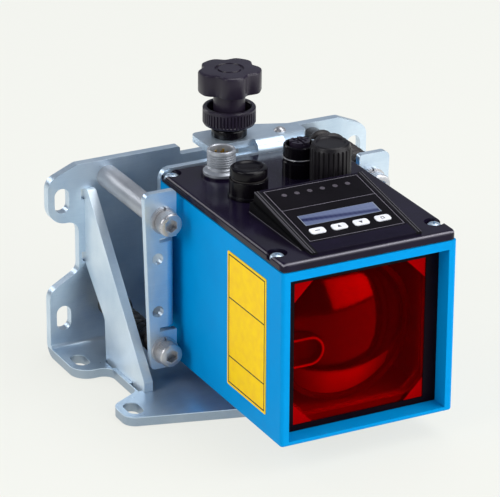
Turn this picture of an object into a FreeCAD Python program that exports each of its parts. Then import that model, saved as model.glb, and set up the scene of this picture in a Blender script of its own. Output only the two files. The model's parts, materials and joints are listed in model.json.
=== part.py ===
import math
import os

import FreeCAD
import Part

# Laser distance sensor on its alignment bracket, in millimetres.
# X runs across the front, Y runs from the window back to the wall, Z is up.
# The origin is the middle of the four foot slots, on the underside of the foot.

V = FreeCAD.Vector
os.makedirs("parts", exist_ok=True)

# Driving dimensions: sensor housing
HOUSING_WIDTH = 78.0
HOUSING_DEPTH = 109.0
HOUSING_HEIGHT = 74.6
HOUSING_ABOVE_FOOT = 6.7
HOUSING_BEHIND_ORIGIN = 11.5
HOUSING_WALL = 3.5
COVER_HEIGHT = 4.0
GASKET = 0.6

# Driving dimensions: sheet metal
BRACKET_SHEET = 4.0
CARRIER_SHEET = 3.0
GUSSET_SHEET = 4.0
WALL_GAP = 27.5
FOOT_SLOT_PITCH = 52.0
SLOT_WIDTH = 6.6
SLOT_LENGTH = 11.0

# Driving dimensions: steps from the housing out to the rows of holes
ADJUSTER_FROM_FLANK = 9.4
TAPPED_FROM_FLANK = 12.0
GUSSET_FROM_FLANK = 20.2
SLOT_FROM_GUSSET = 10.3
EDGE_FROM_SLOT = 6.3
EAR_FROM_BACK = 23.0

# Driving dimensions: screws and clearances
SCREW_RADIUS = 3.0
SPINDLE_RADIUS = 4.0
M12_RADIUS = 6.0
THREAD_PLAY = 0.05
HOLE_PLAY = 0.4
PIVOT_PLAY = 0.15
OVERCUT = 1.0

# Places worked out from the driving dimensions
half_width = HOUSING_WIDTH / 2
back = HOUSING_BEHIND_ORIGIN
front = back - HOUSING_DEPTH
bottom = BRACKET_SHEET + HOUSING_ABOVE_FOOT
top = bottom + HOUSING_HEIGHT
cover_low = top + GASKET
cover_top = top + COVER_HEIGHT
carrier_back = back + CARRIER_SHEET
wall_front = carrier_back + WALL_GAP
wall_back = wall_front + BRACKET_SHEET
ear_front = back - EAR_FROM_BACK
ear_back = ear_front + CARRIER_SHEET
opening_half = half_width - HOUSING_WALL
gusset_outer = half_width + GUSSET_FROM_FLANK
gusset_inner = gusset_outer - GUSSET_SHEET
slot_x = gusset_outer + SLOT_FROM_GUSSET
bracket_half = slot_x + EDGE_FROM_SLOT
foot_slot_back = FOOT_SLOT_PITCH / 2
foot_slot_front = -foot_slot_back


def box(x0, x1, y0, y1, z0, z1):
    return Part.makeBox(x1 - x0, y1 - y0, z1 - z0, V(x0, y0, z0))


def bar(radius, start, end):
    """A round bar between two points."""
    way = end.sub(start)
    return Part.makeCylinder(radius, way.Length, start, way)


def tube(outer, inner, start, end):
    return bar(outer, start, end).cut(bar(inner, start, end))


def in_xy(z):
    return lambda u, v: V(u, v, z)


def in_xz(y):
    return lambda u, v: V(u, y, v)


def in_yz(x):
    return lambda u, v: V(x, u, v)


def rounded_outline(corners, place):
    """A closed outline through (u, v, radius) corners, each rounded by its radius."""
    spots = [V(u, v, 0) for u, v, radius in corners]
    starts, middles, ends = [], [], []
    for i, (u, v, radius) in enumerate(corners):
        here = spots[i]
        to_last = spots[i - 1].sub(here).normalize()
        to_next = spots[(i + 1) % len(corners)].sub(here).normalize()
        half_angle = to_last.getAngle(to_next) / 2
        inward = to_last.add(to_next)
        inward = inward.normalize() if inward.Length > 1e-9 else inward
        reach = radius / math.tan(half_angle)
        starts.append(here.add(to_last * reach))
        ends.append(here.add(to_next * reach))
        middles.append(here.add(inward * (radius / math.sin(half_angle) - radius)))
    edges = []
    for i, (u, v, radius) in enumerate(corners):
        a, m, b = (place(p.x, p.y) for p in (starts[i], middles[i], ends[i]))
        following = starts[(i + 1) % len(corners)]
        c = place(following.x, following.y)
        if radius > 0:
            edges.append(Part.Arc(a, m, b).toShape())
        if b.distanceToPoint(c) > 1e-6:
            edges.append(Part.makeLine(b, c))
    return Part.Wire(edges)


def plate(corners, place, thickness):
    """A flat plate: a rounded outline pushed along a thickness vector."""
    return Part.Face(rounded_outline(corners, place)).extrude(thickness)


def rectangle(u0, u1, v0, v1, radius):
    return [(u0, v0, radius), (u1, v0, radius), (u1, v1, radius), (u0, v1, radius)]


def both_sides(half):
    """A whole outline from its right half, listed from top to bottom."""
    return half + [(-u, v, radius) for u, v, radius in reversed(half)]


def mirrored(shape):
    return shape.mirror(V(0, 0, 0), V(1, 0, 0))


def bend(inside, sheet, centre, axis, quarter_start, length):
    """A quarter bend of sheet about an axis; quarter_start points to its first end."""
    near = centre.add(quarter_start * inside)
    far = centre.add(quarter_start * (inside + sheet))
    along = axis * length
    corners = [near, far, far.add(along), near.add(along), near]
    return Part.Face(Part.makePolygon(corners)).revolve(centre, axis, 90)


def hexagon_bar(across_flats, start, end):
    way = end.sub(start)
    corner = across_flats / math.sqrt(3)
    turn = FreeCAD.Rotation(V(0, 0, 1), way)
    points = []
    for i in range(7):
        angle = math.radians(60 * i)
        spoke = V(corner * math.cos(angle), corner * math.sin(angle), 0)
        points.append(start.add(turn.multVec(spoke)))
    return Part.Face(Part.makePolygon(points)).extrude(way)


def fluted_bar(radius, depth, flutes, centre, height):
    """An upright bar with V flutes round it."""
    points = []
    for i in range(2 * flutes + 1):
        angle = math.pi * i / flutes
        reach = radius if i % 2 == 0 else radius - depth
        points.append(centre.add(V(reach * math.cos(angle), reach * math.sin(angle), 0)))
    return Part.Face(Part.makePolygon(points)).extrude(V(0, 0, height))


def edges_at(shape, test):
    return [edge for edge in shape.Edges if test(edge.CenterOfMass)]


def edges_at_height(shape, z):
    return edges_at(shape, lambda centre: abs(centre.z - z) < 0.01)


def save(name, *solids):
    shape = solids[0] if len(solids) == 1 else Part.makeCompound(list(solids))
    shape.exportStep("parts/" + name + ".step")


# Alignment points: the pivot and the two adjusting screws
ADJUSTER_RISE = 9.3
ADJUSTER_DROP = 7.3
adjuster_x = half_width + ADJUSTER_FROM_FLANK
adjuster_low = bottom + ADJUSTER_RISE
adjuster_high = top - ADJUSTER_DROP
PIVOT = (-adjuster_x, adjuster_high)
LOWER = (-adjuster_x, adjuster_low)
UPPER = (adjuster_x, adjuster_high)


def on_screw(spot, y):
    return V(spot[0], y, spot[1])


def along_screw(radius, spot, start, end):
    return bar(radius, on_screw(spot, start), on_screw(spot, end))


# Wall bracket: rear plate, foot and the bend between them are one folded sheet
BRACKET_ABOVE_HOUSING = 0.2
BRACKET_BEND = 2.0
REAR_SLOT_LOW = 17.0
REAR_SLOT_DROP = 15.1
EAR_OVER_SLOT = 9.4
EAR_UNDER_SLOT = 10.2
LOWER_EAR_OVER_SLOT = 12.5
LOWER_EAR_SLOPE = 8.0
NECK_FROM_SLOT = 7.5
SHOULDER_FROM_SLOT = 7.2
NOTCH_HALF = 14.5
NOTCH_DEPTH = 3.7
NOTCH_ROUND = 1.0
SHOULDER_ROUND = 4.0
EAR_ROUND = 6.0
EAR_UNDER_ROUND = 8.0
NECK_ROUND = 5.0
FOOT_NECK_FROM_SLOT = 8.5
FOOT_REAR_REACH = 11.2
FOOT_FRONT_REACH = 14.4
FOOT_FRONT_SLOPE = 6.0
FOOT_EDGE_REACH = 7.4
NOSE_REACH = 23.5
NOSE_HALF = 18.0
NOSE_ROUND = 12.0
RIVET_RADIUS = 3.6

bracket_top = top + BRACKET_ABOVE_HOUSING
rear_slot_high = bracket_top - REAR_SLOT_DROP


def slot_at(u, v, place, thickness):
    half_w = SLOT_WIDTH / 2
    half_l = SLOT_LENGTH / 2
    end_radius = half_w - 0.001
    outline = rectangle(u - half_w, u + half_w, v - half_l, v + half_l, end_radius)
    return plate(outline, place, thickness)


def rear_plate():
    neck_x = slot_x - NECK_FROM_SLOT
    ear_top = rear_slot_high + EAR_OVER_SLOT
    ear_underside = rear_slot_high - EAR_UNDER_SLOT
    lower_ear_end = REAR_SLOT_LOW + LOWER_EAR_OVER_SLOT
    half = [
        (NOTCH_HALF, bracket_top - NOTCH_DEPTH, NOTCH_ROUND),
        (NOTCH_HALF, bracket_top, NOTCH_ROUND),
        (slot_x - SHOULDER_FROM_SLOT, bracket_top, SHOULDER_ROUND),
        (bracket_half, ear_top, EAR_ROUND),
        (bracket_half, ear_underside, EAR_UNDER_ROUND),
        (neck_x, ear_underside, NECK_ROUND),
        (neck_x, lower_ear_end + LOWER_EAR_SLOPE, NECK_ROUND),
        (bracket_half, lower_ear_end, EAR_ROUND),
        (bracket_half, BRACKET_SHEET + BRACKET_BEND, 0.0),
    ]
    return plate(both_sides(half), in_xz(wall_front), V(0, BRACKET_SHEET, 0))


def foot_plate():
    neck_x = slot_x - FOOT_NECK_FROM_SLOT
    rear_step = foot_slot_back - FOOT_REAR_REACH
    front_step = foot_slot_front + FOOT_FRONT_REACH
    half = [
        (bracket_half, wall_front - BRACKET_BEND, 0.0),
        (bracket_half, rear_step, EAR_UNDER_ROUND),
        (neck_x, rear_step, NECK_ROUND),
        (neck_x, front_step, NECK_ROUND),
        (bracket_half, foot_slot_front + FOOT_FRONT_SLOPE, EAR_ROUND),
        (bracket_half, foot_slot_front - FOOT_EDGE_REACH, EAR_ROUND),
        (NOSE_HALF, foot_slot_front - NOSE_REACH, NOSE_ROUND),
    ]
    return plate(both_sides(half), in_xy(0), V(0, 0, BRACKET_SHEET))


def wall_bracket():
    fold_centre = V(-bracket_half, wall_front - BRACKET_BEND, BRACKET_SHEET + BRACKET_BEND)
    fold = bend(BRACKET_BEND, BRACKET_SHEET, fold_centre, V(1, 0, 0), V(0, 0, -1), 2 * bracket_half)
    sheet = rear_plate().fuse([foot_plate(), fold]).removeSplitter()
    cuts = gusset_slots()
    through_rear = V(0, BRACKET_SHEET + 2 * OVERCUT, 0)
    through_foot = V(0, 0, BRACKET_SHEET + 2 * OVERCUT)
    for x in (-slot_x, slot_x):
        for z in (REAR_SLOT_LOW, rear_slot_high):
            cuts.append(slot_at(x, z, in_xz(wall_front - OVERCUT), through_rear))
        for y in (foot_slot_front, foot_slot_back):
            cuts.append(slot_at(x, y, in_xy(-OVERCUT), through_foot))
    for spot in (PIVOT, LOWER, UPPER):
        cuts.append(along_screw(RIVET_RADIUS, spot, wall_front - OVERCUT, wall_back + OVERCUT))
    return sheet.cut(cuts)


# Gussets: triangular webs with tabs into the rear plate and the foot
GUSSET_DROP = 10.9
GUSSET_WALL_EDGE = 34.0
GUSSET_CREST = 3.1
GUSSET_TOE_REACH = 11.0
GUSSET_TOE_HEIGHT = 4.4
GUSSET_HEEL_GAP = 19.6
GUSSET_HEEL_RISE = 17.8
GUSSET_HEEL_LEAN = 0.8
GUSSET_ROUND = 1.0
HEEL_ROUND = 3.0
REAR_TAB = 4.3
REAR_TAB_INSET = 0.7
FOOT_TAB = 8.6
FOOT_TAB_TOE_INSET = 2.5
FOOT_TAB_HEEL_INSET = 1.2
TAB_PLAY = 0.15
TAB_SLIT = 1.5

gusset_top = bracket_top - GUSSET_DROP
gusset_wall_low = gusset_top - GUSSET_WALL_EDGE
gusset_toe = foot_slot_front + GUSSET_TOE_REACH
gusset_heel = wall_front - GUSSET_HEEL_GAP


def gusset_tabs(play, slit):
    """Tabs of the right gusset, or with play and a slit outside them the slots that take them."""
    x0 = gusset_inner - play
    x1 = gusset_outer + slit
    tabs = []
    for low in (gusset_wall_low + REAR_TAB_INSET, gusset_top - REAR_TAB_INSET - REAR_TAB):
        tabs.append(box(x0, x1, wall_front - OVERCUT, wall_back, low - play, low + REAR_TAB + play))
    for start in (gusset_toe + FOOT_TAB_TOE_INSET, gusset_heel - FOOT_TAB_HEEL_INSET - FOOT_TAB):
        tabs.append(box(x0, x1, start - play, start + FOOT_TAB + play, 0, BRACKET_SHEET + OVERCUT))
    return tabs


def gusset_slots():
    slots = gusset_tabs(TAB_PLAY, TAB_SLIT)
    return slots + [mirrored(slot) for slot in slots]


def right_gusset():
    outline = [
        (wall_front, gusset_top, GUSSET_ROUND),
        (wall_front, gusset_wall_low, GUSSET_ROUND),
        (gusset_heel + GUSSET_HEEL_LEAN, BRACKET_SHEET + GUSSET_HEEL_RISE, HEEL_ROUND),
        (gusset_heel, BRACKET_SHEET, 0.0),
        (gusset_toe, BRACKET_SHEET, 0.0),
        (gusset_toe, BRACKET_SHEET + GUSSET_TOE_HEIGHT, GUSSET_ROUND),
        (wall_front - GUSSET_CREST, gusset_top, GUSSET_ROUND),
    ]
    web = plate(outline, in_yz(gusset_inner), V(GUSSET_SHEET, 0, 0))
    return web.fuse(gusset_tabs(0, 0)).removeSplitter()


# Carrier: back plate, side walls, ears and clamp flange are one folded sheet
CARRIER_BEND = 1.0
WALL_FROM_FLANK = 3.8
NOTCH_ABOVE_LOWER = 8.4
NOTCH_BELOW_UPPER = 8.1
NOTCH_WIDTH = 1.8
NOTCH_END_FROM_FLANK = 11.2
PLATE_RISE = 4.0
PLATE_INSET = 0.5
PLATE_ROUND = 5.0
EAR_TAB_FROM_FLANK = 3.5
EAR_RISE = 1.1
EAR_ABOVE_COVER = 0.8
EAR_EDGE_HIGH = 8.5
EAR_EDGE_LOW = 5.8
EAR_CORNER_LOW = 2.0
EAR_CORNER_HIGH = 3.0
EAR_TAB_ROUND = 1.5
TAPPED_PITCH = 23.5
TAPPED_LIFT = 1.35
TAPPED_RADIUS = 2.5
FLANGE_RISE = 4.9
FLANGE_BEND = 1.35
FLANGE_LEFT = -14.0
FLANGE_RIGHT = 32.0
FLANGE_DEPTH = 22.0
FLANGE_SIDE_DEPTH = 13.0
FLANGE_CORNER_X = 9.5
FLANGE_ROUND = 3.0
NECK_LEFT = 7.0
NECK_RIGHT = 20.0
CLAMP_FROM_BACK = 13.3
BUSH_SPIGOT = 5.5
PIN_X = 21.5
PIN_FROM_BACK = 8.5
PIN_RADIUS = 1.5
HOOK_HALF = 12.0
HOOK_DROP = 23.3
HOOK_HEIGHT = 22.0
HOOK_WINDOW_SIDE = 1.0
HOOK_WINDOW_LOW = 4.0
HOOK_WINDOW_HIGH = 6.0
HOOK_WINDOW_ROUND = 2.0

wall_inside = half_width + WALL_FROM_FLANK
wall_outside = wall_inside + CARRIER_SHEET
ear_flat_start = wall_outside + CARRIER_BEND
ear_high = cover_top + EAR_ABOVE_COVER
ear_low = bottom + EAR_RISE
notch_low = adjuster_low + NOTCH_ABOVE_LOWER
notch_high = adjuster_high - NOTCH_BELOW_UPPER
tapped_x = half_width + TAPPED_FROM_FLANK
tapped_middle = (bottom + top) / 2 + TAPPED_LIFT
flange_top = cover_top + FLANGE_RISE
flange_low = flange_top - CARRIER_SHEET
flange_fold_start = flange_low - FLANGE_BEND
clamp_y = back + CLAMP_FROM_BACK
pin_y = back + PIN_FROM_BACK
hook_ledge = top - HOOK_DROP
hook_low = hook_ledge - HOOK_HEIGHT


def ear_sheet():
    """Right ear: wide tabs above and below, cut free of the side wall by two notches."""
    tab_x = half_width + EAR_TAB_FROM_FLANK
    notch_end = half_width + NOTCH_END_FROM_FLANK
    y0 = ear_front - OVERCUT
    y1 = ear_back + OVERCUT
    outline = [
        (tab_x, ear_low, PLATE_ROUND),
        (adjuster_x + EAR_EDGE_LOW, ear_low, EAR_CORNER_LOW),
        (adjuster_x + EAR_EDGE_HIGH, ear_high, EAR_CORNER_HIGH),
        (tab_x, ear_high, EAR_TAB_ROUND),
    ]
    ear = plate(outline, in_xz(ear_front), V(0, CARRIER_SHEET, 0))
    cuts = [box(tab_x - OVERCUT, ear_flat_start, y0, y1, notch_low, notch_high)]
    for z in (notch_low, notch_high - NOTCH_WIDTH):
        cuts.append(box(ear_flat_start - OVERCUT, notch_end, y0, y1, z, z + NOTCH_WIDTH))
    for z in (tapped_middle - TAPPED_PITCH / 2, tapped_middle + TAPPED_PITCH / 2):
        cuts.append(bar(TAPPED_RADIUS, V(tapped_x, y0, z), V(tapped_x, y1, z)))
    return ear.cut(cuts)


def side_wall():
    """Right side wall with the bends to the back plate and to the ear."""
    low = notch_low + NOTCH_WIDTH
    high = notch_high - NOTCH_WIDTH
    rear_centre = V(wall_inside - CARRIER_BEND, back - CARRIER_BEND, low)
    ear_centre = V(ear_flat_start, ear_back + CARRIER_BEND, low)
    wall = box(wall_inside, wall_outside, ear_centre.y, rear_centre.y, low, high)
    rear_bend = bend(CARRIER_BEND, CARRIER_SHEET, rear_centre, V(0, 0, 1), V(1, 0, 0), high - low)
    ear_bend = bend(CARRIER_BEND, CARRIER_SHEET, ear_centre, V(0, 0, 1), V(-1, 0, 0), high - low)
    corner = box(half_width - PLATE_ROUND, rear_centre.x, back, carrier_back, low, high)
    return wall.fuse([rear_bend, ear_bend, corner])


def clamp_flange():
    """Flange over the back plate that carries the clamp, on a narrow bent neck."""
    fold_y = back + CARRIER_SHEET + FLANGE_BEND
    centre = V(NECK_LEFT, fold_y, flange_fold_start)
    fold = bend(FLANGE_BEND, CARRIER_SHEET, centre, V(1, 0, 0), V(0, 0, 1), NECK_RIGHT - NECK_LEFT)
    outline = [
        (FLANGE_LEFT, fold_y, FLANGE_ROUND / 2),
        (FLANGE_RIGHT, fold_y, FLANGE_ROUND / 2),
        (FLANGE_RIGHT, back + FLANGE_SIDE_DEPTH, FLANGE_ROUND),
        (FLANGE_CORNER_X, back + FLANGE_DEPTH, FLANGE_ROUND),
        (FLANGE_LEFT, back + FLANGE_DEPTH, FLANGE_ROUND),
    ]
    return plate(outline, in_xy(flange_low), V(0, 0, CARRIER_SHEET)).fuse(fold)


def carrier_plate():
    plate_half = half_width - PLATE_INSET
    outline = rectangle(-plate_half, plate_half, bottom + PLATE_RISE, flange_fold_start, PLATE_ROUND)
    back_plate = plate(outline, in_xz(back), V(0, CARRIER_SHEET, 0))
    side = side_wall().fuse(ear_sheet())
    sheet = back_plate.fuse([side, mirrored(side), clamp_flange()]).removeSplitter()
    window_half = HOOK_HALF + HOOK_WINDOW_SIDE
    hook_window = rectangle(-window_half, window_half, hook_low - HOOK_WINDOW_LOW,
                            hook_ledge + HOOK_WINDOW_HIGH, HOOK_WINDOW_ROUND)
    cuts = [plate(hook_window, in_xz(back - OVERCUT), V(0, CARRIER_SHEET + 2 * OVERCUT, 0))]
    for spot in (PIVOT, LOWER, UPPER):
        cuts.append(along_screw(SCREW_RADIUS + HOLE_PLAY, spot, ear_front - OVERCUT, ear_back + OVERCUT))
    for radius, x, y in ((BUSH_SPIGOT, 0, clamp_y), (PIN_RADIUS, PIN_X, pin_y)):
        cuts.append(bar(radius, V(x, y, flange_low - OVERCUT), V(x, y, flange_top + OVERCUT)))
    return sheet.cut(cuts)


# Alignment hardware
WASHER_THICK = 1.6
WASHER_RADIUS = 5.8
WASHER_PLAY = 0.2
WASHER_SPLIT = 0.8
HEAD_RADIUS = 5.0
HEAD_HEIGHT = 6.0
HEAD_CHAMFER = 0.5
SOCKET_FLATS = 5.0
SOCKET_DEPTH = 3.0
ROD_RADIUS = 4.9
ROD_RELIEF = 1.2
PIVOT_SCREW_REACH = 18.0
BORE_BEYOND_SCREW = 2.0
BOSS_RADIUS = 4.3
BOSS_LENGTH = 12.0
SCREW_SHORT_OF_WALL = 2.0
BELLOWS_CREST = 8.6
BELLOWS_END_CREST = 7.0
BELLOWS_SLIM_CREST = 4.9
BELLOWS_FOLD_DEPTH = 1.3
BELLOWS_FOLDS = 10
BELLOWS_LONG_SHARE = 0.8
BELLOWS_SLIM_SHARE = 0.9
BELLOWS_CUFF_RADIUS = 5.4
BELLOWS_CUFF_LENGTH = 6.5
BELLOWS_PLAY = 0.3
FOLD_RISE_SHARE = 0.35

head_back = ear_front - WASHER_THICK
head_front = head_back - HEAD_HEIGHT


def spring_washer(spot):
    x, z = spot
    inner = SCREW_RADIUS + WASHER_PLAY
    ring = tube(WASHER_RADIUS, inner, on_screw(spot, head_back), on_screw(spot, ear_front))
    split = box(x - WASHER_SPLIT / 2, x + WASHER_SPLIT / 2, head_back - OVERCUT, ear_front + OVERCUT,
                z + SCREW_RADIUS / 2, z + WASHER_RADIUS + OVERCUT)
    return ring.cut(split)


def socket_screw(spot, tail):
    head = along_screw(HEAD_RADIUS, spot, head_front, head_back)
    rim = edges_at(head, lambda centre: abs(centre.y - head_front) < 0.01)
    head = head.makeChamfer(HEAD_CHAMFER, rim)
    shank = along_screw(SCREW_RADIUS, spot, head_back - OVERCUT, tail)
    socket_end = on_screw(spot, head_front + SOCKET_DEPTH)
    socket = hexagon_bar(SOCKET_FLATS, on_screw(spot, head_front - OVERCUT), socket_end)
    return head.fuse(shank).removeSplitter().cut(socket)


def rivet_end(spot):
    return along_screw(RIVET_RADIUS, spot, wall_front - OVERCUT, wall_back)


def pivot_rod():
    """Spacer rod riveted into the rear plate; its bored front end carries the pivot screw."""
    rod_start = ear_back + PIVOT_PLAY
    rod = along_screw(ROD_RADIUS, PIVOT, rod_start, wall_front)
    rim = edges_at(rod, lambda centre: abs(centre.y - rod_start) < 0.01)
    rod = rod.makeChamfer(ROD_RELIEF, rim)
    bore_end = ear_back + PIVOT_SCREW_REACH + BORE_BEYOND_SCREW
    bore = along_screw(SCREW_RADIUS, PIVOT, rod_start, bore_end)
    return rod.fuse(rivet_end(PIVOT)).removeSplitter().cut(bore)


def adjuster_boss(spot):
    boss_start = wall_front - BOSS_LENGTH
    boss = along_screw(BOSS_RADIUS, spot, boss_start, wall_front)
    bore = along_screw(SCREW_RADIUS + THREAD_PLAY, spot, boss_start - OVERCUT, wall_back + OVERCUT)
    return boss.fuse(rivet_end(spot)).removeSplitter().cut(bore)


def bellows_profile(first_crest, share):
    """Radius and place along the screw: the bore, then the folds, then the plain cuff."""
    cuff_start = wall_front - BELLOWS_CUFF_LENGTH
    boss_start = wall_front - BOSS_LENGTH - BELLOWS_PLAY
    fold = (cuff_start - ear_back) / BELLOWS_FOLDS
    rise = FOLD_RISE_SHARE * fold
    screw_bore = SCREW_RADIUS + BELLOWS_PLAY
    boss_bore = BOSS_RADIUS + BELLOWS_PLAY / 2
    profile = [(boss_bore, wall_front), (boss_bore, boss_start)]
    profile += [(screw_bore, boss_start), (screw_bore, ear_back)]
    for i in range(BELLOWS_FOLDS):
        crest = first_crest if i < share * BELLOWS_FOLDS else BELLOWS_END_CREST
        start = ear_back + i * fold
        profile.append((crest - BELLOWS_FOLD_DEPTH, start))
        profile.append((crest, start + rise))
        profile.append((crest, start + fold - rise))
        profile.append((crest - BELLOWS_FOLD_DEPTH, start + fold))
    return profile + [(BELLOWS_CUFF_RADIUS, cuff_start), (BELLOWS_CUFF_RADIUS, wall_front)]


def bellows(spot, first_crest, share):
    """Rubber spring sleeve round an adjusting screw; its last folds are sized to pass a gusset."""
    points = []
    for radius, y in bellows_profile(first_crest, share):
        point = on_screw(spot, y).add(V(radius, 0, 0))
        if not points or point.distanceToPoint(points[-1]) > 1e-6:
            points.append(point)
    points.append(points[0])
    return Part.Face(Part.makePolygon(points)).revolve(on_screw(spot, ear_back), V(0, 1, 0), 360)


# Clamp: hexagon bush on the flange, lock ring, spindle with star knob, pressure pad, hook
BUSH_FLATS = 13.4
BUSH_HEIGHT = 4.4
LOCK_WASHER = 0.8
LOCK_WASHER_RADIUS = 6.4
RING_RADIUS = 11.2
RING_HEIGHT = 7.9
RING_FLOOR = 2.6
RING_WALL = 2.0
RING_FLUTES = 40
RING_FLUTE_DEPTH = 0.5
HUB_RADIUS = 6.75
HUB_GAP = 2.2
KNOB_ABOVE_RING = 7.0
KNOB_HEIGHT = 9.6
KNOB_LOBES = 5
FIRST_LOBE_DEGREES = 252
LOBE_REACH = 13.9
LOBE_HALF_DEGREES = 13
LOBE_ROUND = 2.5
VALLEY_REACH = 10.3
VALLEY_ROUND = 5.0
KNOB_ROUND = 1.2
KNOB_GROOVE_OUTER = 6.2
KNOB_GROOVE_INNER = 4.6
KNOB_GROOVE_DEPTH = 0.8
SPINDLE_IN_KNOB = 4.0
PAD_RADIUS = 6.0
PAD_HEIGHT = 4.0
PAD_CHAMFER = 0.6
HOOK_REACH = 21.5
HOOK_THICK = 6.0
HOOK_ROUND = 1.5
HOOK_SCREW_X = 7.0
HOOK_SCREW_RADIUS = 2.0
HOOK_HOLE_RADIUS = 2.2
HOOK_HEAD_RADIUS = 3.5
HOOK_HEAD_HEIGHT = 2.2
HOOK_SCREW_DEPTH = 3.0
PIN_HEAD_BALL = 3.0
PIN_HEAD_SUNK = 1.4

bush_top = flange_top + BUSH_HEIGHT
ring_low = bush_top + LOCK_WASHER
ring_floor_top = ring_low + RING_FLOOR
ring_top = ring_low + RING_HEIGHT
knob_low = ring_top + KNOB_ABOVE_RING
knob_top = knob_low + KNOB_HEIGHT
pad_top = hook_ledge + PAD_HEIGHT
hook_screw_z = hook_low + HOOK_THICK


def on_spindle(z):
    return V(0, clamp_y, z)


def spindle_bore(low, high):
    return bar(SPINDLE_RADIUS + THREAD_PLAY, on_spindle(low - OVERCUT), on_spindle(high + OVERCUT))


def clamp_bush():
    nut = hexagon_bar(BUSH_FLATS, on_spindle(flange_top), on_spindle(bush_top))
    rivet = bar(BUSH_SPIGOT, on_spindle(flange_low), on_spindle(flange_top + OVERCUT))
    return nut.fuse(rivet).removeSplitter().cut(spindle_bore(flange_low, bush_top))


def lock_washer():
    inner = SPINDLE_RADIUS + BELLOWS_PLAY
    return tube(LOCK_WASHER_RADIUS, inner, on_spindle(bush_top), on_spindle(ring_low))


def lock_ring():
    body = fluted_bar(RING_RADIUS, RING_FLUTE_DEPTH, RING_FLUTES, on_spindle(ring_low), RING_HEIGHT)
    cup = bar(RING_RADIUS - RING_WALL, on_spindle(ring_floor_top), on_spindle(ring_top + OVERCUT))
    return body.cut([cup, spindle_bore(ring_low, ring_floor_top)])


def knob_corner(degrees, reach, rounding):
    angle = math.radians(degrees)
    return (reach * math.cos(angle), clamp_y + reach * math.sin(angle), rounding)


def star_knob():
    outline = []
    for i in range(KNOB_LOBES):
        lobe = FIRST_LOBE_DEGREES + 360 * i / KNOB_LOBES
        outline.append(knob_corner(lobe - LOBE_HALF_DEGREES, LOBE_REACH, LOBE_ROUND))
        outline.append(knob_corner(lobe + LOBE_HALF_DEGREES, LOBE_REACH, LOBE_ROUND))
        outline.append(knob_corner(lobe + 180 / KNOB_LOBES, VALLEY_REACH, VALLEY_ROUND))
    head = plate(outline, in_xy(knob_low), V(0, 0, KNOB_HEIGHT))
    rims = edges_at_height(head, knob_top) + edges_at_height(head, knob_low)
    head = head.makeFillet(KNOB_ROUND, rims)
    groove = tube(KNOB_GROOVE_OUTER, KNOB_GROOVE_INNER, on_spindle(knob_top - KNOB_GROOVE_DEPTH),
                  on_spindle(knob_top + OVERCUT))
    hub = bar(HUB_RADIUS, on_spindle(ring_floor_top + HUB_GAP), on_spindle(knob_low + OVERCUT))
    socket = bar(SPINDLE_RADIUS, on_spindle(ring_floor_top), on_spindle(knob_low + SPINDLE_IN_KNOB))
    return head.cut(groove).fuse(hub).removeSplitter().cut(socket)


def clamp_spindle():
    return bar(SPINDLE_RADIUS, on_spindle(pad_top), on_spindle(knob_low + SPINDLE_IN_KNOB))


def pressure_pad():
    pad = bar(PAD_RADIUS, on_spindle(hook_ledge), on_spindle(pad_top))
    return pad.makeChamfer(PAD_CHAMFER, edges_at_height(pad, pad_top))


def clamp_hook():
    """Angle fixed to the housing back; the pressure pad bears on its ledge."""
    hook_face = back + HOOK_THICK
    outline = [
        (back, hook_low, 0.0),
        (back, hook_ledge, 0.0),
        (back + HOOK_REACH, hook_ledge, HOOK_ROUND),
        (back + HOOK_REACH, hook_ledge - HOOK_THICK, HOOK_ROUND),
        (hook_face, hook_ledge - HOOK_THICK, 2 * HOOK_ROUND),
        (hook_face, hook_low, HOOK_ROUND),
    ]
    angle = plate(outline, in_yz(-HOOK_HALF), V(2 * HOOK_HALF, 0, 0))
    return angle.cut(hook_holes(HOOK_HOLE_RADIUS, back - OVERCUT, hook_face + OVERCUT))


def hook_holes(radius, start, end):
    places = (-HOOK_SCREW_X, HOOK_SCREW_X)
    return [bar(radius, V(x, start, hook_screw_z), V(x, end, hook_screw_z)) for x in places]


def hook_screws():
    seat = back + HOOK_THICK
    heads = hook_holes(HOOK_HEAD_RADIUS, seat, seat + HOOK_HEAD_HEIGHT)
    shanks = hook_holes(HOOK_SCREW_RADIUS, back - HOOK_SCREW_DEPTH, seat + OVERCUT)
    return [head.fuse(shank).removeSplitter() for head, shank in zip(heads, shanks)]


def flange_pin():
    """Small round-headed pin through the flange beside the clamp."""
    seat = V(PIN_X, pin_y, flange_top)
    ball = Part.makeSphere(PIN_HEAD_BALL, seat.add(V(0, 0, -PIN_HEAD_SUNK)))
    above = bar(PIN_HEAD_BALL, seat, seat.add(V(0, 0, PIN_HEAD_BALL)))
    shank = bar(PIN_RADIUS, V(PIN_X, pin_y, flange_low), seat.add(V(0, 0, PIN_RADIUS / 2)))
    return ball.common(above).fuse(shank).removeSplitter()


# Housing: deep metal case, open at the front for the window and at the top for the cover
OPENING_RISE = 1.9
OPENING_DROP = 3.7
RECESS_DEPTH = 7.7
WINDOW_PACK = 2.6
LEDGE_BACK = 12.8
LEDGE_INSET = 8.0
LEDGE_RISE = 6.5
LEDGE_DROP = 8.1
CORNER_ROUND = 1.5
BOTTOM_ROUND = 1.0
SCREW_FROM_FLANK = 3.8
SCREW_FROM_FRONT = 12.0
SCREW_FROM_BACK = 3.8
COVER_SCREW_RADIUS = 1.5
COVER_SCREW_DEPTH = 10.0
POST = 4.4
POST_HEIGHT = 14.0

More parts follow.
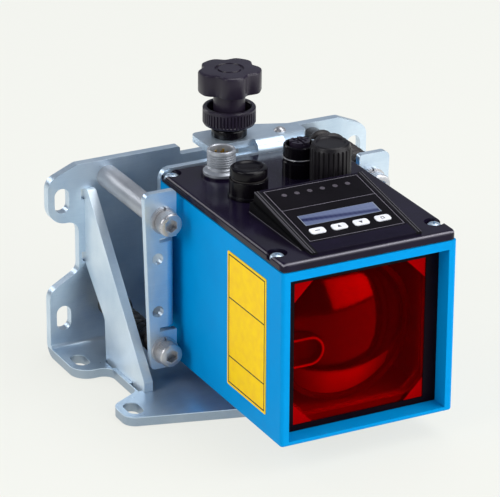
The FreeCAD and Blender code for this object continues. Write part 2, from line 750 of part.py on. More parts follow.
window_plane = front + RECESS_DEPTH
opening_low = bottom + OPENING_RISE
opening_high = top - OPENING_DROP
ledge_back = front + LEDGE_BACK
ledge_half = half_width - LEDGE_INSET
ledge_low = bottom + LEDGE_RISE
ledge_high = top - LEDGE_DROP
cover_screw_x = half_width - SCREW_FROM_FLANK
COVER_SCREWS = []
for screw_y in (front + SCREW_FROM_FRONT, back - SCREW_FROM_BACK):
    COVER_SCREWS.append((-cover_screw_x, screw_y))
    COVER_SCREWS.append((cover_screw_x, screw_y))


def screw_holes(radius, low, high):
    return [bar(radius, V(x, y, low), V(x, y, high)) for x, y in COVER_SCREWS]


def screw_posts():
    """Corner blocks under the cover that take its screws."""
    posts = []
    for x, y in COVER_SCREWS:
        outer = math.copysign(opening_half + OVERCUT, x)
        inner = x - math.copysign(POST, x)
        y0 = max(y - POST, ledge_back - OVERCUT)
        y1 = min(y + POST, back - HOUSING_WALL + OVERCUT)
        posts.append(box(min(inner, outer), max(inner, outer), y0, y1, top - POST_HEIGHT, top))
    return posts


def housing():
    case = box(-half_width, half_width, front, back, bottom, top)
    middle = (bottom + top) / 2
    uprights = edges_at(case, lambda centre: abs(centre.z - middle) < 1 and abs(centre.x) > half_width - 1)
    case = case.makeFillet(CORNER_ROUND, uprights)
    case = case.makeFillet(BOTTOM_ROUND, edges_at_height(case, bottom))
    recess = box(-opening_half, opening_half, front - OVERCUT, window_plane + WINDOW_PACK,
                 opening_low, opening_high)
    eye = box(-ledge_half, ledge_half, window_plane, ledge_back + OVERCUT, ledge_low, ledge_high)
    room = box(-opening_half, opening_half, ledge_back, back - HOUSING_WALL,
               bottom + HOUSING_WALL, top + OVERCUT)
    shell = case.cut([recess, eye, room]).fuse(screw_posts()).removeSplitter()
    holes = screw_holes(COVER_SCREW_RADIUS, top - COVER_SCREW_DEPTH, top + OVERCUT)
    holes += hook_holes(HOOK_SCREW_RADIUS, back - HOOK_SCREW_DEPTH, back + OVERCUT)
    return shell.cut(holes)


# Window and optics
WINDOW_PLAY = 0.2
WINDOW_ROUND = 0.5
FRAME_THICK = 0.6
RED_INSET = 9.4
RED_RISE = 4.6
RED_DROP = 8.7
OCTAGON_CUT = 8.5
OCTAGON_INSET = 0.5
MASK_THICK = 1.2
MASK_PLAY = 0.5
MASK_BELOW_POSTS = 1.0
LENS_INSET = 1.0
LENS_DROP = 1.2
LENS_GAP = 0.5
LENS_RIM = 3.0
LENS_BULGE = 7.0
LENS_PLAY = 0.02
LENS_SEAT = 2.0
BARREL_WALL = 2.0
BARREL_FLOOR = 3.0
BOARD_FROM_BACK = 23.0
BOARD_THICK = 1.6
BOARD_PLAY = 1.0
BOARD_DROP = 16.0
EMITTER_DROP = 3.1
EMITTER_RADIUS = 6.2
EMITTER_LENGTH = 22.9
EMITTER_DEPTH = 6.5
EMITTER_WALL = 0.9
EMITTER_PLAY = 0.3

lens_radius = min(ledge_half, (ledge_high - ledge_low) / 2) - LENS_INSET
lens_z = (ledge_low + ledge_high) / 2 - LENS_DROP
mask_back = ledge_back + MASK_THICK
lens_tip = mask_back + LENS_GAP
barrel_front = lens_tip + LENS_BULGE
lens_flat = barrel_front + LENS_RIM
board_front = back - BOARD_FROM_BACK


def window_outline():
    half = opening_half - WINDOW_PLAY
    return rectangle(-half, half, opening_low + WINDOW_PLAY, opening_high - WINDOW_PLAY, WINDOW_ROUND)


def window_frame():
    """Dark printed border on the front of the window."""
    red_half = half_width - RED_INSET
    border = plate(window_outline(), in_xz(window_plane), V(0, FRAME_THICK, 0))
    clear = box(-red_half, red_half, window_plane - OVERCUT, window_plane + OVERCUT,
                bottom + RED_RISE, top - RED_DROP)
    return border.cut(clear)


def front_window():
    return plate(window_outline(), in_xz(window_plane + FRAME_THICK), V(0, WINDOW_PACK - FRAME_THICK, 0))


def lens_mask():
    """Plate behind the window with an eight-sided opening."""
    y0 = ledge_back
    y1 = mask_back
    below_posts = top - POST_HEIGHT - MASK_BELOW_POSTS
    between_posts = cover_screw_x - POST - MASK_PLAY
    mask = box(-opening_half, opening_half, y0, y1, bottom + HOUSING_WALL, below_posts)
    upper = box(-between_posts, between_posts, y0, y1, below_posts - OVERCUT, top - MASK_PLAY)
    low = ledge_low + OCTAGON_INSET
    high = ledge_high - OCTAGON_INSET
    half = ledge_half - OCTAGON_INSET
    octagon = [
        (half - OCTAGON_CUT, low, 0.0),
        (half, low + OCTAGON_CUT, 0.0),
        (half, high - OCTAGON_CUT, 0.0),
        (half - OCTAGON_CUT, high, 0.0),
    ]
    opening = plate(both_sides(octagon), in_xz(y0 - OVERCUT), V(0, MASK_THICK + 2 * OVERCUT, 0))
    return mask.fuse(upper).removeSplitter().cut(opening)


def on_lens_axis(y):
    return V(0, y, lens_z)


def lens_barrel():
    barrel = bar(lens_radius + BARREL_WALL, on_lens_axis(barrel_front), on_lens_axis(board_front))
    bore = bar(lens_radius, on_lens_axis(barrel_front - OVERCUT), on_lens_axis(lens_flat))
    throat_end = board_front - BARREL_FLOOR
    throat = bar(lens_radius - LENS_SEAT, on_lens_axis(barrel_front), on_lens_axis(throat_end))
    return barrel.cut([bore, throat])


def main_lens():
    """Plano-convex collecting lens, bulging to the window and notched for the emitter tube."""
    radius = lens_radius - LENS_PLAY
    ball = (radius ** 2 + LENS_BULGE ** 2) / (2 * LENS_BULGE)
    body = bar(radius, on_lens_axis(lens_tip), on_lens_axis(lens_flat))
    lens = body.common(Part.makeSphere(ball, on_lens_axis(lens_tip + ball)))
    notch_end = mask_back + EMITTER_DEPTH + EMITTER_PLAY
    notch = plate(emitter_outline(-EMITTER_PLAY), in_xz(mask_back), V(0, notch_end - mask_back, 0))
    return lens.cut(notch)


def emitter_outline(inset):
    """Round-ended outline that starts at the left wall."""
    start = -opening_half + inset
    end = -opening_half + EMITTER_LENGTH - inset
    half = EMITTER_RADIUS - inset
    z = lens_z - EMITTER_DROP
    end_radius = half - 0.01
    lower = [(start, z - half, 0.0), (end, z - half, end_radius)]
    return lower + [(end, z + half, end_radius), (start, z + half, 0.0)]


def emitter_tube():
    """Round-ended tube from the left wall that carries the outgoing beam."""
    body = plate(emitter_outline(0), in_xz(mask_back), V(0, EMITTER_DEPTH, 0))
    start = in_xz(mask_back - OVERCUT)
    inside = plate(emitter_outline(EMITTER_WALL), start, V(0, EMITTER_DEPTH - OVERCUT, 0))
    return body.cut(inside)


def circuit_board():
    half = opening_half - BOARD_PLAY
    return box(-half, half, board_front, board_front + BOARD_THICK, bottom + HOUSING_WALL, top - BOARD_DROP)


# Display wedge: the sloping face on the cover and what sits in it
WEDGE_INSET = 14.5
WEDGE_FROM_FRONT = 3.4
WEDGE_FROM_BACK = 57.0
WEDGE_FRONT_RISE = 1.1
WEDGE_BACK_RISE = 9.0
WEDGE_LEAN = 1.6
STEP_WIDTH = 1.6
STEP_START = 4.0
STEP_RISE = 4.6
FOIL_INSET = 2.5
FOIL_FRONT = 7.0
FOIL_REAR_EDGE = 0.6
FOIL_THICK = 0.5
FOIL_ROUND = 1.0
LCD_INSET = 4.8
LCD_FRONT = 18.9
LCD_DEPTH = 7.9
LCD_THICK = 2.0
LCD_SUNK = 0.15
KEYS = 4
KEY_MARGIN = 2.5
KEY_ROW = 14.0
KEY_HALF_WIDTH = 3.3
KEY_HALF_DEPTH = 2.0
KEY_ROUND = 1.2
KEY_TOP = 0.3
KEY_THICK = 1.2
KEY_TRAVEL = 0.4
KEY_PLAY = 0.1
LEDS = 6
LED_MARGIN = 4.75
LED_ROW_FROM_EDGE = 5.8
LED_RADIUS = 1.1
LED_THICK = 2.0

wedge_half = half_width - WEDGE_INSET
wedge_front_y = front + WEDGE_FROM_FRONT
wedge_back_y = back - WEDGE_FROM_BACK
wedge_front_z = cover_top + WEDGE_FRONT_RISE
wedge_back_z = cover_top + WEDGE_BACK_RISE
wedge_run = wedge_back_y - wedge_front_y
wedge_climb = wedge_back_z - wedge_front_z
wedge_tilt = math.atan2(wedge_climb, wedge_run)
foil_half = wedge_half - FOIL_INSET
foil_back = math.hypot(wedge_run, wedge_climb) - FOIL_REAR_EDGE
lcd_half = foil_half - LCD_INSET
led_row = foil_back - LED_ROW_FROM_EDGE


def spread(count, margin):
    """Places of a row of equal pieces across the foil."""
    pitch = 2 * (foil_half - margin) / count
    return [(i - (count - 1) / 2) * pitch for i in range(count)]


KEY_PLACES = spread(KEYS, KEY_MARGIN)
LED_PLACES = spread(LEDS, LED_MARGIN)


def on_wedge(shape):
    """Lays a shape built on the XY plane onto the sloping display face."""
    shape.rotate(V(0, 0, 0), V(1, 0, 0), math.degrees(wedge_tilt))
    shape.translate(V(0, wedge_front_y, wedge_front_z))
    return shape


def key_block(x, low, high, play):
    half_w = KEY_HALF_WIDTH + play
    half_d = KEY_HALF_DEPTH + play
    outline = rectangle(x - half_w, x + half_w, KEY_ROW - half_d, KEY_ROW + half_d, KEY_ROUND + play)
    return plate(outline, in_xy(low), V(0, 0, high - low))


def lcd_block(low, high):
    return box(-lcd_half, lcd_half, LCD_FRONT, LCD_FRONT + LCD_DEPTH, low, high)


def led_block(x, low, high):
    return bar(LED_RADIUS, V(x, led_row, low), V(x, led_row, high))


def foil_block(low, high):
    outline = rectangle(-foil_half, foil_half, FOIL_FRONT, foil_back, FOIL_ROUND)
    return plate(outline, in_xy(low), V(0, 0, high - low))


def display_pockets(key_low, led_low, lcd_low, high):
    """Openings for keys, lamps and display, each from its own depth up to high."""
    cuts = [key_block(x, key_low, high, KEY_PLAY) for x in KEY_PLACES]
    cuts += [led_block(x, led_low, high) for x in LED_PLACES]
    return cuts + [lcd_block(lcd_low, high)]


def display_foil():
    low = -FOIL_THICK - OVERCUT
    return on_wedge(foil_block(-FOIL_THICK, 0).cut(display_pockets(low, low, low, OVERCUT)))


def lcd_window():
    return on_wedge(lcd_block(-LCD_THICK, -LCD_SUNK))


def display_key(x):
    return on_wedge(key_block(x, KEY_TOP - KEY_THICK, KEY_TOP, 0))


def led_lens(x):
    return on_wedge(led_block(x, -LED_THICK, 0))


# Cover: lid with the display wedge, screw pockets and plug holes
LID_SETBACK = 0.3
LID_ROUND = 3.0
LID_EDGE_ROUND = 1.6
SCREW_POCKET = 4.1
POCKET_FLOOR = 1.0
SCREW_HEAD_RADIUS = 3.0
SCREW_HEAD_HEIGHT = 2.0
SCREW_HEAD_ROUND = 0.7
SCREW_SLOT = 0.8
SCREW_SLOT_DEPTH = 0.8
SCREW_HOLE_PLAY = 0.3
GASKET_INSET = 1.0
HOLLOW_SIDE = 3.0
HOLLOW_START = 16.0
HOLLOW_END = 2.0
HOLLOW_SKIN_FRONT = 0.6
HOLLOW_RISE_BACK = 4.4
LABEL_THICK = 0.25
LABEL_FROM_FRONT = 13.2
LABEL_DEPTH = 33.2
LABEL_RISE = 9.0
LABEL_DROP = 7.2
LABEL_ROUND = 0.8

screw_seat = cover_low + POCKET_FLOOR


def cover_gasket():
    half = half_width - GASKET_INSET
    outer = box(-half, half, front + GASKET_INSET, back - GASKET_INSET, top, cover_low)
    inner = box(-opening_half, opening_half, ledge_back, back - HOUSING_WALL,
                top - OVERCUT, cover_low + OVERCUT)
    pads = screw_holes(POST - MASK_PLAY, top, cover_low)
    gasket = outer.cut(inner).fuse(pads).common(outer).removeSplitter()
    return gasket.cut(screw_holes(COVER_SCREW_RADIUS + SCREW_HOLE_PLAY, top - OVERCUT, cover_low + OVERCUT))


def cover_wedge():
    """Sloping display block, with a lower step along its sides."""
    sunk = cover_top - OVERCUT
    wedge_foot = wedge_back_y + WEDGE_LEAN
    slope = [
        (wedge_front_y, sunk, 0.0),
        (wedge_front_y, wedge_front_z, 0.0),
        (wedge_back_y, wedge_back_z, 0.0),
        (wedge_foot, sunk, 0.0),
    ]
    step = [
        (wedge_front_y + STEP_START, sunk, 0.0),
        (wedge_front_y + STEP_START + OVERCUT, cover_top, 0.0),
        (wedge_back_y + WEDGE_LEAN / 2, cover_top + STEP_RISE, 0.0),
        (wedge_foot, sunk, 0.0),
    ]
    step_half = wedge_half + STEP_WIDTH
    upper = plate(slope, in_yz(-wedge_half), V(2 * wedge_half, 0, 0))
    return upper.fuse(plate(step, in_yz(-step_half), V(2 * step_half, 0, 0)))


def wedge_hollow():
    """Room under the wedge for the display."""
    start = wedge_front_y + HOLLOW_START
    end = wedge_back_y - HOLLOW_END
    half = wedge_half - HOLLOW_SIDE
    sunk = cover_low - OVERCUT
    outline = [
        (start, sunk, 0.0),
        (start, cover_top - HOLLOW_SKIN_FRONT, 0.0),
        (end, cover_top + HOLLOW_RISE_BACK, 0.0),
        (end, sunk, 0.0),
    ]
    return plate(outline, in_yz(-half), V(2 * half, 0, 0))


def top_cover():
    outline = rectangle(-half_width, half_width, front + LID_SETBACK, back, LID_ROUND)
    lid = plate(outline, in_xy(cover_low), V(0, 0, cover_top - cover_low))
    lid = lid.makeFillet(LID_EDGE_ROUND, edges_at_height(lid, cover_top))
    lid = lid.fuse([cover_wedge(), power_boss()]).removeSplitter()
    key_low = KEY_TOP - KEY_THICK - KEY_TRAVEL - KEY_PLAY
    seats = display_pockets(key_low, -LED_THICK, -LCD_THICK, 0) + [foil_block(-FOIL_THICK, OVERCUT)]
    cuts = [wedge_hollow()] + [on_wedge(seat) for seat in seats] + plug_holes()
    cuts += screw_holes(SCREW_POCKET, screw_seat, cover_top + OVERCUT)
    cuts += screw_holes(COVER_SCREW_RADIUS + SCREW_HOLE_PLAY, cover_low - OVERCUT, cover_top)
    return lid.cut(cuts)


def cover_screw(x, y):
    head_top = screw_seat + SCREW_HEAD_HEIGHT
    head = bar(SCREW_HEAD_RADIUS, V(x, y, screw_seat), V(x, y, head_top))
    head = head.makeFillet(SCREW_HEAD_ROUND, edges_at_height(head, head_top))
    shank = bar(COVER_SCREW_RADIUS, V(x, y, top - COVER_SCREW_DEPTH), V(x, y, screw_seat + OVERCUT))
    slot = box(x - SCREW_SLOT / 2, x + SCREW_SLOT / 2, y - SCREW_HEAD_RADIUS + OVERCUT,
               y + SCREW_HEAD_RADIUS - OVERCUT, head_top - SCREW_SLOT_DEPTH, head_top + OVERCUT)
    return head.fuse(shank).removeSplitter().cut(slot)


def side_label():
    """Plain stuck-on plate on the left flank."""
    start = front + LABEL_FROM_FRONT
    outline = rectangle(start, start + LABEL_DEPTH, bottom + LABEL_RISE, top - LABEL_DROP, LABEL_ROUND)
    return plate(outline, in_yz(-half_width - LABEL_THICK), V(LABEL_THICK, 0, 0))


# Plugs on the cover
POWER_FROM_FLANK = 21.6
POWER_FROM_BACK = 13.8
CAPPED_FROM_FLANK = 21.0
CAPPED_FROM_BACK = 39.4
OPEN_FROM_FLANK = 27.5
OPEN_FROM_BACK = 27.7
KNURLED_FROM_FLANK = 21.2
KNURLED_FROM_BACK = 42.7
PLUG_SPIGOT = 5.0
PIN_CIRCLE = 2.4
PINS = 5
SEAL = 0.6

POWER_BOSS_RADIUS = 8.3
POWER_BOSS_HEIGHT = 0.8
POWER_FLANGE_RADIUS = 7.6
POWER_FLANGE_HEIGHT = 1.5
POWER_HEIGHT = 11.3
POWER_BORE = 4.7
POWER_DEPTH = 7.0
POWER_PIN_RADIUS = 0.5
POWER_PIN_SUNK = 1.2

BARREL_BASE_RADIUS = 8.5
BARREL_BASE_HEIGHT = 1.3
BARREL_RADIUS = 8.0
BARREL_HEIGHT = 7.7
BARREL_BORE = 5.3
BARREL_DEPTH = 5.0
SMOOTH_SEAL_OUTER = 7.2
SMOOTH_SEAL_INNER = 5.6
SMOOTH_CAP_RADIUS = 7.65
SMOOTH_CAP_HEIGHT = 4.4
SMOOTH_CAP_ROUND = 0.8
SMOOTH_STEM = 4.5
CAP_DISH_RADIUS = 5.3
CAP_DISH_DEPTH = 0.8

OPEN_LOWER_RADIUS = 7.1
OPEN_LOWER_HEIGHT = 6.4
OPEN_RADIUS = 6.8
OPEN_HEIGHT = 13.3
OPEN_BORE = 5.4
OPEN_DEPTH = 8.0
INSERT_RADIUS = 4.2
INSERT_RISE = 1.4
INSERT_SLIT = 1.1
INSERT_SLIT_DEPTH = 1.0
INSERT_HOLE_RADIUS = 0.7
INSERT_HOLE_DEPTH = 5.0
KEYWAY_WIDTH = 1.8
KEYWAY_DEPTH = 1.0

KNURLED_SOCKET_HEIGHT = 10.7
KNURLED_SEAL_INNER = 3.6
KNURLED_HEIGHT = 18.0
KNURLED_GAP = 0.4
KNURLED_RADIUS = 8.5
KNURLED_FLUTES = 26
KNURLED_FLUTE_DEPTH = 0.6
CROWN_RADIUS = 8.1
CROWN_TOP_RADIUS = 7.2
CROWN_HEIGHT = 1.4
CROWN_DISH_RADIUS = 5.6
CROWN_DISH_DEPTH = 0.5

POWER_PLUG = (POWER_FROM_FLANK - half_width, back - POWER_FROM_BACK)
CAPPED_PLUG = (CAPPED_FROM_FLANK - half_width, back - CAPPED_FROM_BACK)
OPEN_PLUG = (half_width - OPEN_FROM_FLANK, back - OPEN_FROM_BACK)
KNURLED_PLUG = (half_width - KNURLED_FROM_FLANK, back - KNURLED_FROM_BACK)
power_seat = cover_top + POWER_BOSS_HEIGHT
power_rim = cover_top + POWER_HEIGHT
barrel_top = cover_top + BARREL_HEIGHT
smooth_low = barrel_top + SEAL
smooth_top = smooth_low + SMOOTH_CAP_HEIGHT
open_rim = cover_top + OPEN_HEIGHT
open_floor = open_rim - OPEN_DEPTH
insert_top = open_rim + INSERT_RISE
knurled_socket_top = cover_top + KNURLED_SOCKET_HEIGHT
knurled_low = cover_top + KNURLED_GAP
knurled_top = cover_top + KNURLED_HEIGHT


def at(place, z):
    return V(place[0], place[1], z)


def upright(radius, place, low, high):
    return bar(radius, at(place, low), at(place, high))


def upright_ring(outer, inner, place, low, high):
    return tube(outer, inner, at(place, low), at(place, high))


def spigot(place, high):
    """Stem of a plug through the cover."""
    return upright(PLUG_SPIGOT, place, cover_low, high)


def plug_holes():
    places = (POWER_PLUG, CAPPED_PLUG, OPEN_PLUG, KNURLED_PLUG)
    return [upright(PLUG_SPIGOT, place, cover_low - OVERCUT, power_seat + OVERCUT) for place in places]


def pin_group(place, low, high, radius):
    """Contact pins: one in the middle and the rest on a circle."""
    pins = [upright(radius, place, low, high)]
    for i in range(PINS - 1):
        angle = math.radians(45 + 360 * i / (PINS - 1))
        spot = (place[0] + PIN_CIRCLE * math.cos(angle), place[1] + PIN_CIRCLE * math.sin(angle))
        pins.append(upright(radius, spot, low, high))
    return pins


def power_boss():
    return upright(POWER_BOSS_RADIUS, POWER_PLUG, cover_top - OVERCUT, power_seat)


def power_plug():
    """Metal plug with an outside M12 thread and an open top."""
    flange = upright(POWER_FLANGE_RADIUS, POWER_PLUG, power_seat, power_seat + POWER_FLANGE_HEIGHT)
    shell = upright(M12_RADIUS, POWER_PLUG, power_seat + OVERCUT, power_rim)
    plug = flange.fuse([shell, spigot(POWER_PLUG, power_seat + OVERCUT)]).removeSplitter()
    return plug.cut(upright(POWER_BORE, POWER_PLUG, power_rim - POWER_DEPTH, power_rim + OVERCUT))


def power_pins():
    return pin_group(POWER_PLUG, power_rim - POWER_DEPTH, power_rim - POWER_PIN_SUNK, POWER_PIN_RADIUS)


def capped_socket():
    """Black barrel that the smooth cap screws into."""
    base = upright(BARREL_BASE_RADIUS, CAPPED_PLUG, cover_top, cover_top + BARREL_BASE_HEIGHT)
    barrel = upright(BARREL_RADIUS, CAPPED_PLUG, cover_top + OVERCUT, barrel_top)
    socket = base.fuse([barrel, spigot(CAPPED_PLUG, cover_top + OVERCUT)]).removeSplitter()
    mouth = upright(BARREL_BORE, CAPPED_PLUG, barrel_top - BARREL_DEPTH, barrel_top + OVERCUT)
    return socket.cut(mouth)


def smooth_seal():
    return upright_ring(SMOOTH_SEAL_OUTER, SMOOTH_SEAL_INNER, CAPPED_PLUG, barrel_top, smooth_low)


def smooth_cap():
    head = upright(SMOOTH_CAP_RADIUS, CAPPED_PLUG, smooth_low, smooth_top)
    head = head.makeFillet(SMOOTH_CAP_ROUND, edges_at_height(head, smooth_top))
    stem_radius = BARREL_BORE - THREAD_PLAY
    stem = upright(stem_radius, CAPPED_PLUG, barrel_top - SMOOTH_STEM, smooth_low + OVERCUT)
    dish = upright(CAP_DISH_RADIUS, CAPPED_PLUG, smooth_top - CAP_DISH_DEPTH, smooth_top + OVERCUT)
    return head.fuse(stem).removeSplitter().cut(dish)


def open_socket():
    """Black plug shell with an open keyed mouth."""
    step = cover_top + OPEN_LOWER_HEIGHT
    lower = upright(OPEN_LOWER_RADIUS, OPEN_PLUG, cover_top, step)
    upper = upright(OPEN_RADIUS, OPEN_PLUG, step - OVERCUT, open_rim)
    shell = lower.fuse([upper, spigot(OPEN_PLUG, cover_top + OVERCUT)]).removeSplitter()
    return shell.cut(upright(OPEN_BORE, OPEN_PLUG, open_floor, open_rim + OVERCUT))


def open_insert():
    """Contact carrier in the open mouth, with a keyway, crossed slits and contact holes."""
    x, y = OPEN_PLUG
    body = upright(INSERT_RADIUS, OPEN_PLUG, open_floor, insert_top)
    keyway = box(x - KEYWAY_WIDTH / 2, x + KEYWAY_WIDTH / 2, y + INSERT_RADIUS - KEYWAY_DEPTH,
                 y + INSERT_RADIUS + OVERCUT, open_floor + OVERCUT, insert_top + OVERCUT)
    slit_low = insert_top - INSERT_SLIT_DEPTH
    slit_high = insert_top + OVERCUT
    half = INSERT_SLIT / 2
    reach = INSERT_RADIUS + OVERCUT
    across = box(x - reach, x + reach, y - half, y + half, slit_low, slit_high)
    along = box(x - half, x + half, y - reach, y + reach, slit_low, slit_high)
    holes = pin_group(OPEN_PLUG, insert_top - INSERT_HOLE_DEPTH, insert_top + OVERCUT, INSERT_HOLE_RADIUS)
    return body.cut([keyway, across, along] + holes)


def knurled_socket():
    base = upright(M12_RADIUS, KNURLED_PLUG, cover_top, knurled_socket_top)
    return base.fuse(spigot(KNURLED_PLUG, cover_top + OVERCUT)).removeSplitter()


def knurled_seal():
    outer = SMOOTH_SEAL_INNER
    seal_top = knurled_socket_top + SEAL
    return upright_ring(outer, KNURLED_SEAL_INNER, KNURLED_PLUG, knurled_socket_top, seal_top)


def knurled_cap():
    crown_low = knurled_top - CROWN_HEIGHT
    body = fluted_bar(KNURLED_RADIUS, KNURLED_FLUTE_DEPTH, KNURLED_FLUTES, at(KNURLED_PLUG, knurled_low),
                      crown_low - knurled_low)
    crown = Part.makeCone(CROWN_RADIUS, CROWN_TOP_RADIUS, CROWN_HEIGHT, at(KNURLED_PLUG, crown_low))
    inside_top = knurled_socket_top + SEAL
    inside = upright(M12_RADIUS + THREAD_PLAY, KNURLED_PLUG, knurled_low - OVERCUT, inside_top)
    dish_low = knurled_top - CROWN_DISH_DEPTH
    dish = upright(CROWN_DISH_RADIUS, KNURLED_PLUG, dish_low, knurled_top + OVERCUT)
    return body.fuse(crown).removeSplitter().cut([inside, dish])


# Every piece goes out under its own name
adjuster_tail = wall_front - SCREW_SHORT_OF_WALL
save("wall_bracket", wall_bracket())
save("right_gusset", right_gusset())
save("left_gusset", mirrored(right_gusset()))
save("carrier_plate", carrier_plate())
save("pivot_rod", pivot_rod())
save("pivot_screw", socket_screw(PIVOT, ear_back + PIVOT_SCREW_REACH))
save("pivot_washer", spring_washer(PIVOT))
save("lower_adjuster_screw", socket_screw(LOWER, adjuster_tail))
save("lower_adjuster_washer", spring_washer(LOWER))
save("lower_bellows", bellows(LOWER, BELLOWS_SLIM_CREST, BELLOWS_SLIM_SHARE))
save("upper_adjuster_screw", socket_screw(UPPER, adjuster_tail))
save("upper_adjuster_washer", spring_washer(UPPER))
save("upper_bellows", bellows(UPPER, BELLOWS_CREST, BELLOWS_LONG_SHARE))
save("adjuster_bosses", adjuster_boss(LOWER), adjuster_boss(UPPER))
save("clamp_bush", clamp_bush())
save("lock_washer", lock_washer())
save("lock_ring", lock_ring())
save("star_knob", star_knob())
save("clamp_spindle", clamp_spindle())
save("pressure_pad", pressure_pad())
save("clamp_hook", clamp_hook())
save("hook_screws", *hook_screws())
save("flange_pin", flange_pin())
save("housing", housing())
save("window_frame", window_frame())
save("front_window", front_window())
save("lens_mask", lens_mask())
save("lens_barrel", lens_barrel())
save("main_lens", main_lens())
save("emitter_tube", emitter_tube())
save("circuit_board", circuit_board())
save("cover_gasket", cover_gasket())
save("top_cover", top_cover())
save("cover_screws", *[cover_screw(x, y) for x, y in COVER_SCREWS])
save("display_foil", display_foil())
save("lcd_window", lcd_window())
save("led_lenses", *[led_lens(x) for x in LED_PLACES])
for number, x in enumerate(KEY_PLACES, start=1):
    save("key_%d" % number, display_key(x))
save("side_label", side_label())
save("power_plug", power_plug())
save("power_pins", *power_pins())
save("capped_socket", capped_socket())
save("smooth_seal", smooth_seal())
save("smooth_cap", smooth_cap())
save("open_socket", open_socket())
save("open_insert", open_insert())
save("knurled_socket", knurled_socket())
save("knurled_seal", knurled_seal())
save("knurled_cap", knurled_cap())
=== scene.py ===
# %% [markdown]
# # A laser distance sensor on its alignment bracket
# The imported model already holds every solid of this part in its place. This lesson dresses it: it gives
# each solid a finish, and models the small pieces whose shape makes the part look real, such as a thread,
# a rubber sleeve and a knurled cap. Everything is in metres, in the frame of the solids.

# %% Load the frame
import json
import math

import bpy
from mathutils import Matrix, Vector


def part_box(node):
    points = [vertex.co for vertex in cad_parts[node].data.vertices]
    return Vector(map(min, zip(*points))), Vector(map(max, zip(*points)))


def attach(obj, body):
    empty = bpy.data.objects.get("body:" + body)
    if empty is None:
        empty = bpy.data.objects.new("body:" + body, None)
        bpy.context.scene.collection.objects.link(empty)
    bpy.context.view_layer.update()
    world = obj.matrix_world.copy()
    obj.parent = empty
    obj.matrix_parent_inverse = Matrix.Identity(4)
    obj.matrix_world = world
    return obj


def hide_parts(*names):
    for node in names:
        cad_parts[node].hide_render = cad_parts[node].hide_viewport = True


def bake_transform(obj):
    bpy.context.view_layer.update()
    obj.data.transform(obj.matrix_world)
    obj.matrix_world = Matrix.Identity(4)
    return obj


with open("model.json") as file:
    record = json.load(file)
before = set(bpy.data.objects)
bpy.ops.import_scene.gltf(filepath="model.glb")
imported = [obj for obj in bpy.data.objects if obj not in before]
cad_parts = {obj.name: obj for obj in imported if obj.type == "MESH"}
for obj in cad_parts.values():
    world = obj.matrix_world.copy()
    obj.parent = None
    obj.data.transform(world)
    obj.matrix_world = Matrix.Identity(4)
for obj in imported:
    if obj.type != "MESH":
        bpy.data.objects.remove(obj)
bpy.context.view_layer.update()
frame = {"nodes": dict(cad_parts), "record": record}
MM = 0.001

# %% [markdown]
# ## The camera
# The picture was taken with a long lens from the front left, a little above the part. Long lenses keep
# parallel edges almost parallel, so the focal length matters as much as the angle. The camera is built
# from its three directions instead of turned angles, which keeps its small roll exact.

# %% Place the camera
CAMERA_TURN = math.radians(27.432)
CAMERA_RISE = math.radians(23.094)
CAMERA_ROLL = math.radians(0.352)
CAMERA_PLACE = Vector((-0.584303, -1.120501, 0.590590))
FOCAL_LENGTH = 236.5
SENSOR_WIDTH = 36.0
PART_MIDDLE = Vector((0.0, -0.03, 0.05))

backward = Vector((-math.sin(CAMERA_TURN) * math.cos(CAMERA_RISE),
                   -math.cos(CAMERA_TURN) * math.cos(CAMERA_RISE),
                   math.sin(CAMERA_RISE)))
level = Vector((math.cos(CAMERA_TURN), -math.sin(CAMERA_TURN), 0.0))
upward = backward.cross(level)
right_hand = level * math.cos(CAMERA_ROLL) + upward * math.sin(CAMERA_ROLL)
head_up = upward * math.cos(CAMERA_ROLL) - level * math.sin(CAMERA_ROLL)


def put(name, data):
    """A new object in the scene."""
    item = bpy.data.objects.new(name, data)
    bpy.context.scene.collection.objects.link(item)
    return item


camera = put("studio_camera", bpy.data.cameras.new("studio_camera"))
camera.data.sensor_width = SENSOR_WIDTH
camera.data.lens = FOCAL_LENGTH
turn = Matrix((right_hand, head_up, backward)).transposed()
camera.matrix_world = Matrix.Translation(CAMERA_PLACE) @ turn.to_4x4()
bpy.context.scene.camera = camera
print("camera distance:", round((CAMERA_PLACE - PART_MIDDLE).length, 3))

# %% [markdown]
# ## Writing shader maths as plain sums
# A finish is a small network of nodes. Wiring each Math node by hand hides the idea, so one class stands
# for an output socket, and Python's own operators add its Math nodes.

# %% Sums on sockets
def math_node(operation, swapped=False):
    """A method that joins a socket and a value, or two sockets, with one Math node."""
    def method(self, other=0.0):
        first, second = (other, self) if swapped else (self, other)
        return self.sheet.add("ShaderNodeMath", {"operation": operation}, {0: first, 1: second})

    return method


class Signal:
    """An output socket that can be added, multiplied and compared."""

    def __init__(self, sheet, socket):
        self.sheet = sheet
        self.socket = socket

    __add__ = math_node("ADD")
    __radd__ = math_node("ADD", swapped=True)
    __sub__ = math_node("SUBTRACT")
    __rsub__ = math_node("SUBTRACT", swapped=True)
    __mul__ = math_node("MULTIPLY")
    __lt__ = math_node("LESS_THAN")
    __gt__ = math_node("GREATER_THAN")
    __abs__ = math_node("ABSOLUTE")
    larger = math_node("MAXIMUM")


print("sums ready")

# %% [markdown]
# ## A sheet for one finish
# A second class is the sheet on which a finish is drawn: a material and its nodes. Its method add makes
# any node and joins its inputs. The methods after it are short ways to the nodes that most finishes need,
# so that a finish reads as a few sums.

